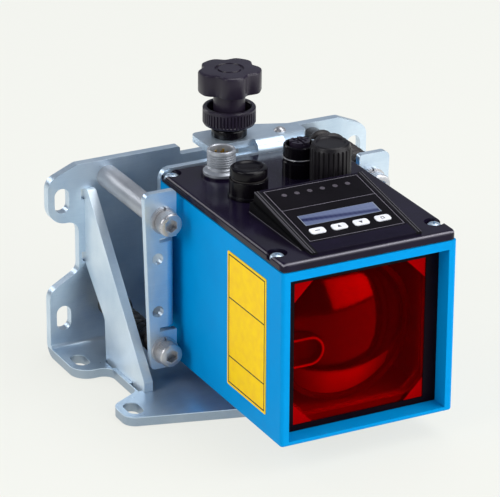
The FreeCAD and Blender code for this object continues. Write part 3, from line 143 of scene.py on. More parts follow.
# %% Sheets
class Finish:
    """A material, or the world, and the nodes drawn on it."""

    def __init__(self, name, owner=None):
        self.owner = owner or bpy.data.materials.new(name)
        self.owner.use_nodes = True
        self.tree = self.owner.node_tree
        self.tree.nodes.clear()

    def add(self, kind, settings, inputs, output=0):
        node = self.tree.nodes.new(kind)
        for key, value in settings.items():
            setattr(node, key, value)
        for key, value in inputs.items():
            if isinstance(value, Signal):
                self.tree.links.new(value.socket, node.inputs[key])
            else:
                node.inputs[key].default_value = value
        return Signal(self, node.outputs[output])

    def spot(self):
        """Object coordinates in metres."""
        return self.add("ShaderNodeTexCoord", {}, {}, "Object")

    def axes(self, wanted="xyz"):
        """The wanted ones of the spot's x, y and z as signals."""
        split = self.add("ShaderNodeSeparateXYZ", {}, {"Vector": self.spot()})
        outputs = split.socket.node.outputs
        return [Signal(self, outputs["xyz".index(letter)]) for letter in wanted]

    def grain(self, size, stretch=(1.0, 1.0, 1.0), detail=3.0):
        """Noise from 0 to 1 whose lumps are about this size in metres, or finer along a stretched axis."""
        place = self.add("ShaderNodeMapping", {}, {"Vector": self.spot(), "Scale": stretch})
        return self.add("ShaderNodeTexNoise", {}, {"Vector": place, "Scale": 1.0 / size,
                                                   "Detail": detail, "Roughness": 0.55})

    def between(self, signal, low, high):
        """The signal's part from low to high, spread over 0 to 1."""
        return self.add("ShaderNodeMapRange", {}, {"Value": signal, "From Min": low, "From Max": high})

    def clouds(self, size, detail=4.0):
        """Noise with more contrast, for tones that change slowly."""
        return self.between(self.grain(size, detail=detail), 0.3, 0.7)

    def blend(self, share, first, second):
        """A colour between two colours."""
        return self.add("ShaderNodeMix", {"data_type": "RGBA"}, {0: share, 6: first, 7: second}, 2)

    def relief(self, height, depth):
        return self.add("ShaderNodeBump", {}, {"Height": height, "Distance": depth, "Strength": 1.0})

    def surface(self, **inputs):
        """The Principled shader; underscores in its socket names stand for spaces."""
        named = {key.replace("_", " "): value for key, value in inputs.items()}
        return self.add("ShaderNodeBsdfPrincipled", {}, named)

    def mix(self, share, first, second):
        """A shader between two shaders."""
        return self.add("ShaderNodeMixShader", {}, {0: share, 1: first, 2: second})

    def show(self, shader, sink_kind="ShaderNodeOutputMaterial"):
        sink = self.tree.nodes.new(sink_kind)
        self.tree.links.new(shader.socket, sink.inputs["Surface"])
        return self.owner

    def paint(self, **inputs):
        """Shows one Principled shader."""
        return self.show(self.surface(**inputs))


print("sheets ready")

# %% [markdown]
# ## Colours
# Colours are written as they show on a screen, because that is how they are judged. Shaders reckon in
# linear light, so one function converts them.

# %% Colours
def colour(red, green, blue):
    """A colour written as it shows on a screen, from 0 to 255."""
    values = [channel / 255 for channel in (red, green, blue)]
    linear = [v / 12.92 if v <= 0.04045 else ((v + 0.055) / 1.055) ** 2.4 for v in values]
    return (*linear, 1.0)


print("middle grey as light:", round(colour(128, 128, 128)[0], 3))

# %% [markdown]
# ## The table
# The part stands on a pale table that fills the picture. To the eye the table is an even pale colour with
# a little real shading mixed in, so that the part still casts a soft shadow. A plain lit plane would show
# the fall-off of every lamp. Rays from metal and glass see the same colour as the eye.

# %% Table
PALE = colour(240, 241, 235)
SHADOW_SHARE = 0.16
TABLE_SIZE = 6.0
TABLE_GAP = 0.4 * MM


def fresh(add, **values):
    """Adds one shape with nothing else selected."""
    bpy.ops.object.select_all(action="DESELECT")
    add(**values)
    return bpy.context.object


def seen_by_eye(sheet):
    """1 for rays from the camera, from gloss and through glass, 0 for the rest."""
    rays = sheet.add("ShaderNodeLightPath", {}, {})
    outputs = rays.socket.node.outputs
    camera_ray, glossy, through = (Signal(sheet, outputs[name]) for name in (
        "Is Camera Ray", "Is Glossy Ray", "Is Transmission Ray"))
    return camera_ray.larger(glossy).larger(through)


def table_top():
    sheet = Finish("table_top")
    lit = sheet.add("ShaderNodeBsdfDiffuse", {}, {"Color": PALE})
    even = sheet.add("ShaderNodeEmission", {}, {"Color": PALE, "Strength": 1.0})
    return sheet.show(sheet.mix(seen_by_eye(sheet) * (1.0 - SHADOW_SHARE), lit, even))


table = fresh(bpy.ops.mesh.primitive_plane_add, size=TABLE_SIZE, location=(0.0, 0.0, -TABLE_GAP))
table.name = "table"
table.data.materials.append(table_top())
print("table made")

# %% [markdown]
# ## The surround
# Black plastic and zinc look black and blue only if what they mirror is dark. One even sky would be too
# bright for that, so the surround is pale for soft light and deep blue for reflections, like a studio
# with its far walls unlit.

# %% Surround
SKY_LIGHT = (0.37, 0.39, 0.44, 1.0)
SKY_MIRRORED = (0.035, 0.055, 0.095, 1.0)


def surround(world):
    sheet = Finish("surround", world)
    glossy = sheet.add("ShaderNodeLightPath", {}, {}, "Is Glossy Ray")
    hue = sheet.blend(glossy, SKY_LIGHT, SKY_MIRRORED)
    return sheet.show(sheet.add("ShaderNodeBackground", {}, {"Color": hue}), "ShaderNodeOutputWorld")


bpy.context.scene.world = surround(bpy.data.worlds.new("surround"))
bpy.context.scene.view_settings.view_transform = "Standard"
print("surround made")

# %% [markdown]
# ## The lamps
# A large soft lamp at the front right lights the front, one overhead the upper faces, and one on the left
# the flank and the gussets. A narrow strip draws thin bright lines on round pieces, and a small lamp
# behind brightens the rear edges. The glossy cover mirrors the weak card far behind, and the plugs stand
# out against it as dark streaks.

# %% Lamps
LAMPS = (
    ("front_lamp", (0.90, -1.15, 0.56), (1.8, 0.95), 20.0),
    ("strip_lamp", (0.64, -0.55, 1.24), (1.2, 0.10), 5.0),
    ("top_lamp", (0.45, 0.10, 1.40), (1.0, 0.7), 8.0),
    ("left_lamp", (-1.35, -0.25, 0.80), (0.8, 0.8), 10.5),
    ("rim_lamp", (-0.75, 1.35, 0.80), (0.5, 0.7), 4.0),
    ("back_card", (0.64, 1.20, 0.70), (1.4, 0.9), 1.0),
)


def soft_lamp(name, place, size, power):
    """A rectangular soft lamp that looks at the part."""
    data = bpy.data.lights.new(name, "AREA")
    data.shape = "RECTANGLE"
    data.size, data.size_y = size
    data.energy = power
    lamp = put(name, data)
    way = PART_MIDDLE - Vector(place)
    lamp.matrix_world = Matrix.Translation(place) @ way.to_track_quat("-Z", "Y").to_matrix().to_4x4()


for lamp_values in LAMPS:
    soft_lamp(*lamp_values)
print("lamps:", [lamp.name for lamp in bpy.data.lights])

# %% [markdown]
# ## Metal finishes
# The bracket is zinc-plated sheet. Plating is never one even grey: it clouds a little, keeps the fine
# rolling lines of the sheet and picks up light scratches. An image could carry all this, but noise on the
# part's own coordinates needs no unwrapping. Clouding goes into colour and roughness, rolling lines into
# a shallow relief. Matt plating scatters part of the light, so the share of bare metal is a value of its
# own.

# %% Metals
CLOUD_SIZE = 22 * MM
PIT_SIZE = 0.6 * MM
SCRATCH_SIZE = 1.6 * MM
SCRATCHED = (1.0, 1.0, 14.0)
CUT_EDGE = colour(84, 98, 116)


def metal(name, dark, light, bare, rough, line_size, line_stretch, line_depth, dull_below=None):
    """A metal: tones, share of bare metal, roughness, fine lines, and a height with dull edges below."""
    sheet = Finish(name)
    cloud = sheet.clouds(CLOUD_SIZE)
    lines = sheet.grain(line_size, line_stretch, 4.0)
    pits = sheet.grain(PIT_SIZE, detail=2.0)
    scratch = sheet.between(sheet.grain(SCRATCH_SIZE, SCRATCHED, 2.0), 0.66, 0.74)
    plating = sheet.blend(cloud * 0.7 + lines * 0.3, colour(*dark), colour(*light))
    if dull_below:
        cut_edge = sheet.axes("z")[0] < dull_below
        plating = sheet.blend(cut_edge * 0.5, plating, CUT_EDGE)
    return sheet.paint(
        Base_Color=plating,
        Metallic=bare,
        Roughness=rough + cloud * 0.09 + lines * 0.10 - scratch * 0.08,
        Normal=sheet.relief(lines * 0.7 + pits * 0.3, line_depth))


print("metals can be made")

# %% [markdown]
# ## The metals of this part
# The gussets get a paler and more matt copy of the zinc than the rest of the bracket; its paler colour is
# painted light that lifts them as lit faces. The foot's cut edges are duller than its faces. The screws are
# turned steel, which is smoother, the plug is nickel-plated, and its contacts are gold. Each metal could
# have its own function, but a table shows at a glance how they differ.

# %% Zinc sheet, steel, plug metal and gold
ROLLED = (10 * MM, (1.0, 18.0, 18.0), 0.04 * MM)
ZINC = ((178, 200, 220), (222, 236, 247), 0.79, 0.26, *ROLLED)
FOOT_EDGE_TOP = 3.6 * MM
METALS = {
    "zinc_sheet": ZINC,
    "foot_zinc": (*ZINC, FOOT_EDGE_TOP),
    # Paler, more matt copy for the gussets; its paler colour is painted light.
    "lit_gusset_zinc": ((188, 208, 224), (230, 241, 249), 0.62, 0.29, *ROLLED),
    "plated_steel": ((158, 158, 162), (212, 212, 214), 0.74, 0.20, 4 * MM, (1.0, 6.0, 1.0), 0.02 * MM),
    "plug_metal": ((150, 154, 161), (194, 198, 204), 0.75, 0.34, 3 * MM, (4.0, 4.0, 1.0), 0.03 * MM),
    "contact_gold": ((196, 150, 60), (236, 196, 96), 1.0, 0.22, 2 * MM, (1.0, 1.0, 6.0), 0.01 * MM),
}
finishes = {name: metal(name, *values) for name, values in METALS.items()}
print("metals:", list(finishes))

# %% [markdown]
# ## Plastic and rubber
# The knob and caps are black moulded plastic with a spark-eroded grain and a purple tint where light
# falls on it. The sleeves are rubber: rougher, a paler grey, and dusty. One function makes all of them,
# and each gets its own size of grain, because that is what tells such finishes apart up close.

# %% Mouldings
TONE_SIZE = 16 * MM
HANDLED_SIZE = 7 * MM


def moulded(name, dark, light, rough, shine, grain_size, grain_depth, peel_size):
    """A moulding: two tones, roughness, shine, size and depth of the grain, size of the coarser peel."""
    sheet = Finish(name)
    tone = sheet.clouds(TONE_SIZE)
    fine = sheet.grain(grain_size, detail=2.0)
    peel = sheet.grain(peel_size, detail=1.0)
    handled = sheet.between(sheet.grain(HANDLED_SIZE, detail=5.0), 0.55, 0.75)
    return sheet.paint(
        Base_Color=sheet.blend(tone * 0.75 + fine * 0.25, colour(*dark), colour(*light)),
        Roughness=rough + fine * 0.08 - handled * 0.06 + tone * 0.04,
        Specular_IOR_Level=shine,
        Normal=sheet.relief(fine * 0.5 + peel * 0.5, grain_depth))


FINE = 0.01 * MM
MOULDINGS = {
    "black_plastic": ((29, 23, 36), (39, 32, 47), 0.28, 0.35, 0.4 * MM, 2 * FINE, 1.4 * MM),
    "cap_plastic": ((16, 14, 17), (24, 21, 25), 0.34, 0.28, 0.4 * MM, 2 * FINE, 1.4 * MM),
    "gloss_plastic": ((8, 6, 10), (13, 10, 16), 0.18, 0.20, 2.0 * MM, FINE, 4.0 * MM),
    "black_rubber": ((30, 27, 27), (54, 50, 49), 0.42, 0.42, 0.6 * MM, 6 * FINE, 1.8 * MM),
    "board_green": ((8, 46, 26), (16, 70, 40), 0.38, 0.40, 0.9 * MM, 4 * FINE, 2.6 * MM),
    "optic_black": ((62, 54, 58), (78, 70, 74), 0.45, 0.30, 0.6 * MM, 3 * FINE, 2.0 * MM),
    "mask_grey": ((118, 112, 114), (134, 128, 130), 0.45, 0.20, 0.6 * MM, 3 * FINE, 2.0 * MM),
    "frame_print": ((11, 4, 10), (17, 7, 15), 0.30, 0.05, 0.8 * MM, FINE, 4.0 * MM),
    "lamp_grey": ((62, 57, 64), (84, 78, 86), 0.22, 0.40, 0.4 * MM, FINE, 1.2 * MM),
}
finishes.update({name: moulded(name, *values) for name, values in MOULDINGS.items()})
print("mouldings:", list(MOULDINGS))

# %% [markdown]
# ## The housing's coat
# The blue coat covers the outside of the casting and runs into the front opening. The room behind the
# window is bare cast metal, which is why the deep corners of the window look dull red and not black: blue
# paint would send no red light back. The faces could be sorted into two materials, but one mask in the
# part's own x, y and z tells the room from the outside and leaves the mesh alone.

# %% Blue coat
ROOM_PLAY = 0.1 * MM


def blue_coat():
    sheet = Finish("blue_paint")
    x, y, z = sheet.axes()
    low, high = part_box("lens_mask")
    beside = (abs(x) < high.x + ROOM_PLAY) * (z > low.z - ROOM_PLAY)
    behind = (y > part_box("front_window")[0].y) * (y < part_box("circuit_board")[1].y + ROOM_PLAY)
    room = beside * behind
    tone = sheet.clouds(TONE_SIZE)
    fine = sheet.grain(0.7 * MM, detail=2.0)
    peel = sheet.grain(2.2 * MM, detail=1.0)
    coat = sheet.blend(tone * 0.75 + fine * 0.25, colour(0, 135, 200), colour(0, 142, 207))
    return sheet.paint(
        Base_Color=sheet.blend(room, coat, colour(150, 146, 148)),
        Roughness=0.34 + fine * 0.08 + tone * 0.04 + room * 0.15,
        Specular_IOR_Level=0.03,
        Normal=sheet.relief(fine * 0.5 + peel * 0.5, 3 * FINE))


finishes["blue_paint"] = blue_coat()
print("coat ready")

# %% [markdown]
# ## The yellow plate
# The plate on the flank has printed lines. They could be thin strips of mesh or an image. Here a line is
# a mask: the distance from a rectangle's edge, compared with half the line's width. The plate carries
# only a border and two dividers, so nothing on it can be read.

# %% Yellow plate
BORDER_INSET = 1.3 * MM
BORDER_HALF = 0.3 * MM
DIVIDER_HALF = 0.28 * MM
DIVIDER_SHARES = (0.34, 0.78)


def edge_distance(across, up, middle, half):
    """Distance outside a rectangle, below 0 inside it."""
    return (abs(across - middle[0]) - half[0]).larger(abs(up - middle[1]) - half[1])


def top_edge(x, y, low, high, side=0.0, end=0.0):
    """Distance outside the upper side of a box, drawn in by a little at the sides and ends."""
    half = (high.x - side, (high.y - low.y) / 2 - end)
    return edge_distance(x, y, (0.0, (low.y + high.y) / 2), half)


def yellow_label():
    sheet = Finish("yellow_plate")
    low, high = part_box("side_label")
    width, height = high.y - low.y, high.z - low.z
    y, z = sheet.axes("yz")
    half = (width / 2 - BORDER_INSET, height / 2 - BORDER_INSET)
    edge = edge_distance(y, z, ((low.y + high.y) / 2, (low.z + high.z) / 2), half)
    print_lines = abs(edge) < BORDER_HALF
    for share in DIVIDER_SHARES:
        line = (abs(z - (high.z - share * height)) < DIVIDER_HALF) * (edge < 0.0)
        print_lines = print_lines.larger(line)
    worn = sheet.between(sheet.grain(4 * MM, detail=6.0), 0.35, 0.65)
    plate = sheet.blend(worn, colour(236, 190, 0), colour(242, 201, 2))
    fine = sheet.grain(0.5 * MM)
    return sheet.paint(
        Base_Color=sheet.blend(print_lines, plate, colour(40, 32, 30)),
        Roughness=0.36 + worn * 0.10 + fine * 0.06,
        Specular_IOR_Level=0.15,
        Normal=sheet.relief(fine * 0.5 + print_lines * 0.5, 2 * FINE))


finishes["yellow_plate"] = yellow_label()
print("plate ready")

# %% [markdown]
# ## The display foil
# The dark foil under the display and the keys is printed in the same way, with a thin border and one
# divider. It is matt where the lid is glossy, which sets it apart even though both are black.

# %% Display foil
FOIL_SIDE_INSET = 0.9 * MM
FOIL_END_INSET = 1.0 * MM
FOIL_LINE_HALF = 0.1 * MM
FOIL_DIVIDER = 0.60


def display_foil():
    sheet = Finish("panel_foil")
    low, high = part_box("display_foil")
    length = high.y - low.y
    x, y = sheet.axes("xy")
    edge = top_edge(x, y, low, high, FOIL_SIDE_INSET, FOIL_END_INSET)
    border = abs(edge) < FOIL_LINE_HALF
    divider = (abs(y - (low.y + FOIL_DIVIDER * length)) < FOIL_LINE_HALF) * (edge < 0.0)
    fine = sheet.grain(0.35 * MM)
    ground = sheet.blend(sheet.clouds(12 * MM), colour(10, 8, 12), colour(16, 13, 19))
    return sheet.paint(
        Base_Color=sheet.blend(border.larger(divider), ground, colour(122, 118, 128)),
        Roughness=0.42 + fine * 0.12,
        Specular_IOR_Level=0.05,
        Normal=sheet.relief(fine, 2 * FINE))


finishes["panel_foil"] = display_foil()
print("foil ready")

# %% [markdown]
# ## The lid's painted highlight
# A thin line along the upper edge of the cover is painted lighter, most of all along the front: a painted
# highlight where the round edge catches the light. It could be a strip of mesh. On the round between the
# flat top and the side, the depth below the top and the distance from the outline are equal at the middle,
# so their difference is a ready-made coordinate across the line.

# %% Edge of the lid
LID_TOP = 89.3 * MM
HIGHLIGHT_HALF = 0.7 * MM
FRONT_FULL = 2.0 * MM
FRONT_END = 6.0 * MM


def lid_highlight_line(sheet, x, y, z):
    """The painted highlight along the upper edge of the lid."""
    low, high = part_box("top_cover")
    outline = top_edge(x, y, low, high)
    # Painted highlight: a light line along the lid's upper edge, strongest at the front.
    line = sheet.between(abs(z - LID_TOP - outline), HIGHLIGHT_HALF, 0.4 * HIGHLIGHT_HALF)
    front = sheet.between(y, low.y + FRONT_END, low.y + FRONT_FULL)
    return line * (0.2 + front * 0.8)


print("lid top:", LID_TOP)

# %% [markdown]
# ## The cover
# The cover is glossy black with a purple tint. The sloping desk of the display has matt sides with painted
# shade, darker than the lid, and painted highlights as light lines, two beside the foil and one along the
# foot. They could be pieces of their own, but the desk is one moulding with the lid, so the distance beside
# the foil tells them apart.

# %% Cover
SKIN = 0.1 * MM
DESK_BACK = 3.0 * MM
OUTER_LINE, OUTER_HALF = 2.5 * MM, 0.3 * MM
INNER_LINE, INNER_HALF = 1.25 * MM, 0.2 * MM
LINE_DEPTH = 0.6 * MM
LINE_RISE = 1.0 * MM
STEP_SIDE = 3.9 * MM
FOOT_RISE = 0.45 * MM


def desk_masks(x, y, z):
    """The sides of the desk, with their painted shade, and the painted highlight lines on them."""
    low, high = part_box("display_foil")
    slope = (high.z - low.z) / (high.y - low.y)
    below = low.z + (y - low.y) * slope - z
    beside = abs(x) - high.x
    on_desk = (z > LID_TOP + SKIN) * (y < high.y + DESK_BACK)
    pair = (abs(beside - OUTER_LINE) < OUTER_HALF).larger(abs(beside - INNER_LINE) < INNER_HALF)
    # Painted highlights along the desk's edges and along its foot.
    edge_highlights = pair * (below < LINE_DEPTH) * (z > LID_TOP + LINE_RISE)
    foot = (beside > STEP_SIDE) * on_desk * (z < LID_TOP + FOOT_RISE)
    return (beside > SKIN) * on_desk, (edge_highlights * 0.4).larger(foot * 0.5)


def cover_black():
    sheet = Finish("cover_black")
    x, y, z = sheet.axes()
    shaded_desk_side, desk_highlights = desk_masks(x, y, z)
    # Painted highlights: the light line on the lid's edge and the light lines on the desk.
    painted_highlight = lid_highlight_line(sheet, x, y, z).larger(desk_highlights)
    fine = sheet.grain(2.0 * MM, detail=2.0)
    tone = sheet.clouds(TONE_SIZE)
    lid = sheet.blend(tone, colour(16, 11, 25), colour(23, 17, 37))
    # The desk's sides get a near-black colour: painted shade.
    ground = sheet.blend(shaded_desk_side, lid, colour(4, 3, 6))
    return sheet.paint(
        Base_Color=sheet.blend(painted_highlight, ground, colour(118, 115, 123)),
        Roughness=0.12 + fine * 0.06 + tone * 0.04 + shaded_desk_side * 0.5,
        Specular_IOR_Level=0.16,
        Normal=sheet.relief(fine, FINE))


finishes["cover_black"] = cover_black()
print("cover ready")

# %% [markdown]
# ## The display
# The display is dark blue-grey glass with a painted reflection, a slanting dark streak. Its unlit cells
# only tint it. They could be many small faces, but a ping-pong sum repeats one cell over the whole glass. A
# second mask draws the paler frame.

# %% Display
CELL_WIDTH = 2.1 * MM
CELL_HEIGHT = 3.2 * MM
GAP_SHARE = 0.08
FRAME_SIDE = 0.5 * MM
FRAME_END = 0.45 * MM


def cells(sheet, along, pitch):
    """0 between the cells of a row and 1 on them."""
    to_gap = sheet.add("ShaderNodeMath", {"operation": "PINGPONG"}, {0: along, 1: pitch / 2})
    return to_gap > GAP_SHARE * pitch


def display_glass():
    sheet = Finish("display_grey")
    low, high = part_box("lcd_window")
    x, y = sheet.axes("xy")
    cell = cells(sheet, x, CELL_WIDTH) * cells(sheet, y, CELL_HEIGHT)
    across = sheet.between(x, low.x, high.x)
    along = sheet.between(y, low.y, high.y)
    # Painted reflection: a slanting dark streak across the glass.
    painted_streak = sheet.between(abs(along + across * 0.35 - 0.55), 0.06, 0.22)
    edge = top_edge(x, y, low, high, FRAME_SIDE, FRAME_END)
    tint = painted_streak * 0.7 + across * 0.2 + cell * 0.1
    ground = sheet.blend(tint, colour(14, 20, 66), colour(98, 108, 138))
    return sheet.paint(
        Base_Color=sheet.blend(edge > 0.0, ground, colour(124, 132, 146)),
        Roughness=0.10 + painted_streak * 0.05,
        Specular_IOR_Level=0.35)


finishes["display_grey"] = display_glass()
print("display ready")

# %% [markdown]
# ## The keys
# The keys are pale rubber, and each gets one plain mark that says nothing: a bar, two triangles and a
# small square. A mark could be a tiny mesh. Drawn as sums on the key's own place it costs no faces, and
# it goes down with the key.

# %% Keys
MARK = colour(52, 50, 58)
BAR_HALF_LENGTH = 1.1 * MM
BAR_HALF_WIDTH = 0.25 * MM
TRIANGLE_SIZE = 1.1 * MM
SQUARE_OUTER = 0.8 * MM
SQUARE_INNER = 0.45 * MM


def key_middle(number):
    low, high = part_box(f"key_{number}")
    return (low + high) / 2


def triangle(across, up, size):
    """1 inside a triangle that points up."""
    return (abs(across) < (size - up) * 0.5) * (up > -0.6 * size)


def marked_keys():
    sheet = Finish("key_white")
    x, y = sheet.axes("xy")
    first, second, third, fourth = (key_middle(number) for number in (1, 2, 3, 4))
    bar = (abs(x - first.x) < BAR_HALF_LENGTH) * (abs(y - first.y) < BAR_HALF_WIDTH)
    upward_mark = triangle(x - second.x, y - second.y, TRIANGLE_SIZE)
    downward_mark = triangle(x - third.x, third.y - y, TRIANGLE_SIZE)
    from_middle = abs(x - fourth.x).larger(abs(y - fourth.y))
    square = (from_middle < SQUARE_OUTER) * (from_middle > SQUARE_INNER)
    marks = bar.larger(upward_mark).larger(downward_mark).larger(square)
    fine = sheet.grain(0.5 * MM)
    ground = sheet.blend(sheet.clouds(3 * MM), colour(206, 207, 212), colour(228, 229, 233))
    return sheet.paint(
        Base_Color=sheet.blend(marks, ground, MARK),
        Roughness=0.40 + fine * 0.10,
        Specular_IOR_Level=0.35,
        Normal=sheet.relief(fine, 2 * FINE))


finishes["key_grey"] = marked_keys()
print("keys ready")

# %% [markdown]
# ## The red window
# The window is a red filter. Real glass would keep the lamps out of the housing, because Cycles sends no
# lamp rays through a refracting shader. So rays towards a lamp see a red Transparent shader, and the eye
# sees red glass. Almost nothing mirrors in this filter, so its index is close to that of air. Its four
# corners are printed over, which leaves an eight-sided view of the lens, and a thin veil of the same red
# lies on the rest, as on any filter that isn't quite clean.

# %% Red filter
CORNER_PRINT = 8.7 * MM
VEIL = 0.04
VIEW_HALF = 29.6 * MM
VIEW_LOW = 15.3 * MM
VIEW_HIGH = 76.6 * MM
FILTER_INDEX = 1.03


def corner_print(sheet):
    """1 on the four printed corners of the window and 0 in its eight-sided middle."""
    x, z = sheet.axes("xz")
    reach = VIEW_HALF + (VIEW_HIGH - VIEW_LOW) / 2 - CORNER_PRINT
    return abs(x) + abs(z - (VIEW_LOW + VIEW_HIGH) / 2) > reach


def red_filter():
    sheet = Finish("red_glass")
    to_lamp = sheet.add("ShaderNodeLightPath", {}, {}, "Is Shadow Ray")
    smear = sheet.between(sheet.grain(12 * MM, detail=5.0), 0.45, 0.75)
    glass = sheet.surface(
        Base_Color=(0.86, 0.001, 0.002, 1.0),
        Roughness=0.01 + smear * 0.015,
        Transmission_Weight=1.0,
        IOR=FILTER_INDEX)
    clear = sheet.add("ShaderNodeBsdfTransparent", {}, {"Color": (0.92, 0.004, 0.006, 1.0)})
    print_red = sheet.surface(
        Base_Color=sheet.blend(smear, colour(156, 0, 3), colour(166, 0, 4)),
        Roughness=0.5 + smear * 0.1,
        Specular_IOR_Level=0.0)
    pane = sheet.mix(to_lamp, glass, clear)
    return sheet.show(sheet.mix(corner_print(sheet).larger(VEIL), pane, print_red))


finishes["red_glass"] = red_filter()
print("filter ready")

# %% [markdown]
# ## The lens's coating and the tube
# The lens has a dark coating that mirrors little: the table shows in it as a dull band, and only the
# large lamp as a bright patch. Clear glass would show the room behind it instead. A pale matt crescent
# along its foot is a painted highlight. The tube of the outgoing beam is dark, and a pale band on its
# front rim is a painted highlight where the rim catches the light.

# %% Lens coating and tube
CRESCENT_SHARE = 0.24
CRESCENT_BOW = 9.0
CRESCENT_FADE = 2.5 * MM
RIM_HIGHLIGHT_WIDTH = 0.4 * MM


def coated_lens():
    sheet = Finish("lens_glass")
    low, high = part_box("main_lens")
    x, z = sheet.axes("xz")
    # Painted highlight: a pale matt crescent along the lens's foot.
    foot = low.z + CRESCENT_SHARE * (high.z - low.z)
    crescent_edge = sheet.between(foot + x * x * CRESCENT_BOW - z, 0.0, CRESCENT_FADE)
    towards_middle = sheet.between(abs(x), 22 * MM, 6 * MM)
    crescent_mask = crescent_edge * (0.35 + towards_middle * 0.65)
    film = sheet.clouds(20 * MM, 2.0)
    rightward = sheet.between(x, -12 * MM, 8 * MM)
    tint = rightward * 0.8 + film * 0.2
    coat = sheet.blend(tint, (0.08, 0.075, 0.08, 1.0), (0.18, 0.16, 0.17, 1.0))
    return sheet.paint(
        Base_Color=sheet.blend(crescent_mask, coat, (0.52, 0.50, 0.50, 1.0)),
        Metallic=1.0 - crescent_mask * 0.9,
        Roughness=0.10 + film * 0.04 + crescent_mask * 0.4)


def tube_with_painted_rim():
    """Dark tube with a painted highlight: a pale band on its front rim."""
    sheet = Finish("tube_painted_rim")
    # Painted highlight: the front rim gets a pale colour.
    rim = sheet.axes("y")[0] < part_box("emitter_tube")[0].y + RIM_HIGHLIGHT_WIDTH
    fine = sheet.grain(0.6 * MM)
    return sheet.paint(
        Base_Color=sheet.blend(rim, colour(40, 34, 38), colour(164, 158, 160)),
        Roughness=0.40 + fine * 0.10,
        Normal=sheet.relief(fine, 2 * FINE))


finishes["lens_glass"] = coated_lens()
finishes["tube_painted_rim"] = tube_with_painted_rim()
print("lens and tube ready")

# %% [markdown]
# ## A finish for every solid
# Each solid has a slot name in the record, and the table of finishes uses the same names. So one loop
# puts a finish on every solid, and none is forgotten. Two optical pieces and the dull rod differ from the
# rest of their slot.

# %% Dress the solids
def dress(piece, finish):
    piece.data.materials.clear()
    piece.data.materials.append(finishes[finish])


for entry in frame["record"]["subparts"]:
    dress(frame["nodes"][entry["node"]], entry["material_slot"])
for node, finish in (("lens_mask", "mask_grey"), ("emitter_tube", "tube_painted_rim"), ("pivot_rod", "plug_metal")):
    dress(frame["nodes"][node], finish)

# %% [markdown]
# ## Eased edges
# No real edge is quite sharp: sheet is deburred, a mould has a radius, paint rounds a corner. That narrow
# band catches the light. The solids have sharp edges, so the large ones are copied, their triangles are
# joined to whole faces, and a Bevel modifier eases every edge that turns by more than a set angle. A
# Weighted Normal modifier then keeps the large faces flat.

# %% Ease the edges of sheets, housing and cover
WELD_DISTANCE = 0.004 * MM
FLAT_ANGLE = math.radians(0.5)
EDGE_ANGLE = math.radians(38)
EASE_SEGMENTS = 3
FLAT_WEIGHT = 100


def only(piece):
    """Leaves one object selected and active."""
    bpy.ops.object.select_all(action="DESELECT")
    piece.select_set(True)
    bpy.context.view_layer.objects.active = piece


def adopt(piece, body, slot, finish, *nodes):
    """Gives a piece its finish, the body it moves with and the solids, if any, that it stands for."""
    dress(piece, finish)
    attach(piece, body)
    if nodes:
        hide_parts(*nodes)
    print(piece.name, "faces:", len(piece.data.polygons))


def eased(node, body, slot, finish, width):
    """A copy of a solid with a narrow round along its edges."""
    piece = put(f"eased_{node}", frame["nodes"][node].data.copy())
    only(piece)
    bpy.ops.object.mode_set(mode="EDIT")
    bpy.ops.mesh.select_all(action="SELECT")
    bpy.ops.mesh.remove_doubles(threshold=WELD_DISTANCE)
    bpy.ops.mesh.dissolve_limited(angle_limit=FLAT_ANGLE)
    bpy.ops.object.mode_set(mode="OBJECT")
    round_off = piece.modifiers.new("round_off", "BEVEL")
    round_off.width = width * MM
    round_off.segments = EASE_SEGMENTS
    round_off.limit_method = "ANGLE"
    round_off.angle_limit = EDGE_ANGLE
    bpy.ops.object.modifier_apply(modifier=round_off.name)
    bpy.ops.object.shade_smooth_by_angle(angle=EDGE_ANGLE)
    flatten = piece.modifiers.new("flatten", "WEIGHTED_NORMAL")
    flatten.weight = FLAT_WEIGHT
    flatten.keep_sharp = True
    bpy.ops.object.modifier_apply(modifier=flatten.name)
    adopt(piece, body, slot, finish, node)


eased("wall_bracket", "bracket", "zinc_sheet", "foot_zinc", 0.5)
for gusset in ("left_gusset", "right_gusset"):
    eased(gusset, "bracket", "zinc_sheet", "lit_gusset_zinc", 0.35)
eased("carrier_plate", "carrier", "zinc_sheet", "zinc_sheet", 0.4)
eased("housing", "carrier", "blue_paint", "blue_paint", 0.35)
eased("top_cover", "carrier", "black_plastic", "cover_black", 0.3)
eased("capped_socket", "carrier", "black_plastic", "gloss_plastic", 0.3)

# %% [markdown]
# ## Turning round pieces
# Plugs, caps, sleeves and screws are turned or moulded round an axis, so one lathe serves them all. It
# could start from a cylinder with many loop cuts. Here half of the section is drawn as a chain of points
# and spun once round: each point is pulled out of the last one, so the chain stays in order and the spin
# gives quads. Sections are written in millimetres, and mostly as distances from an edge, as on a drawing.

# %% A lathe
SEAM_DISTANCE = 0.002 * MM
SMOOTH_ANGLE = math.radians(32)


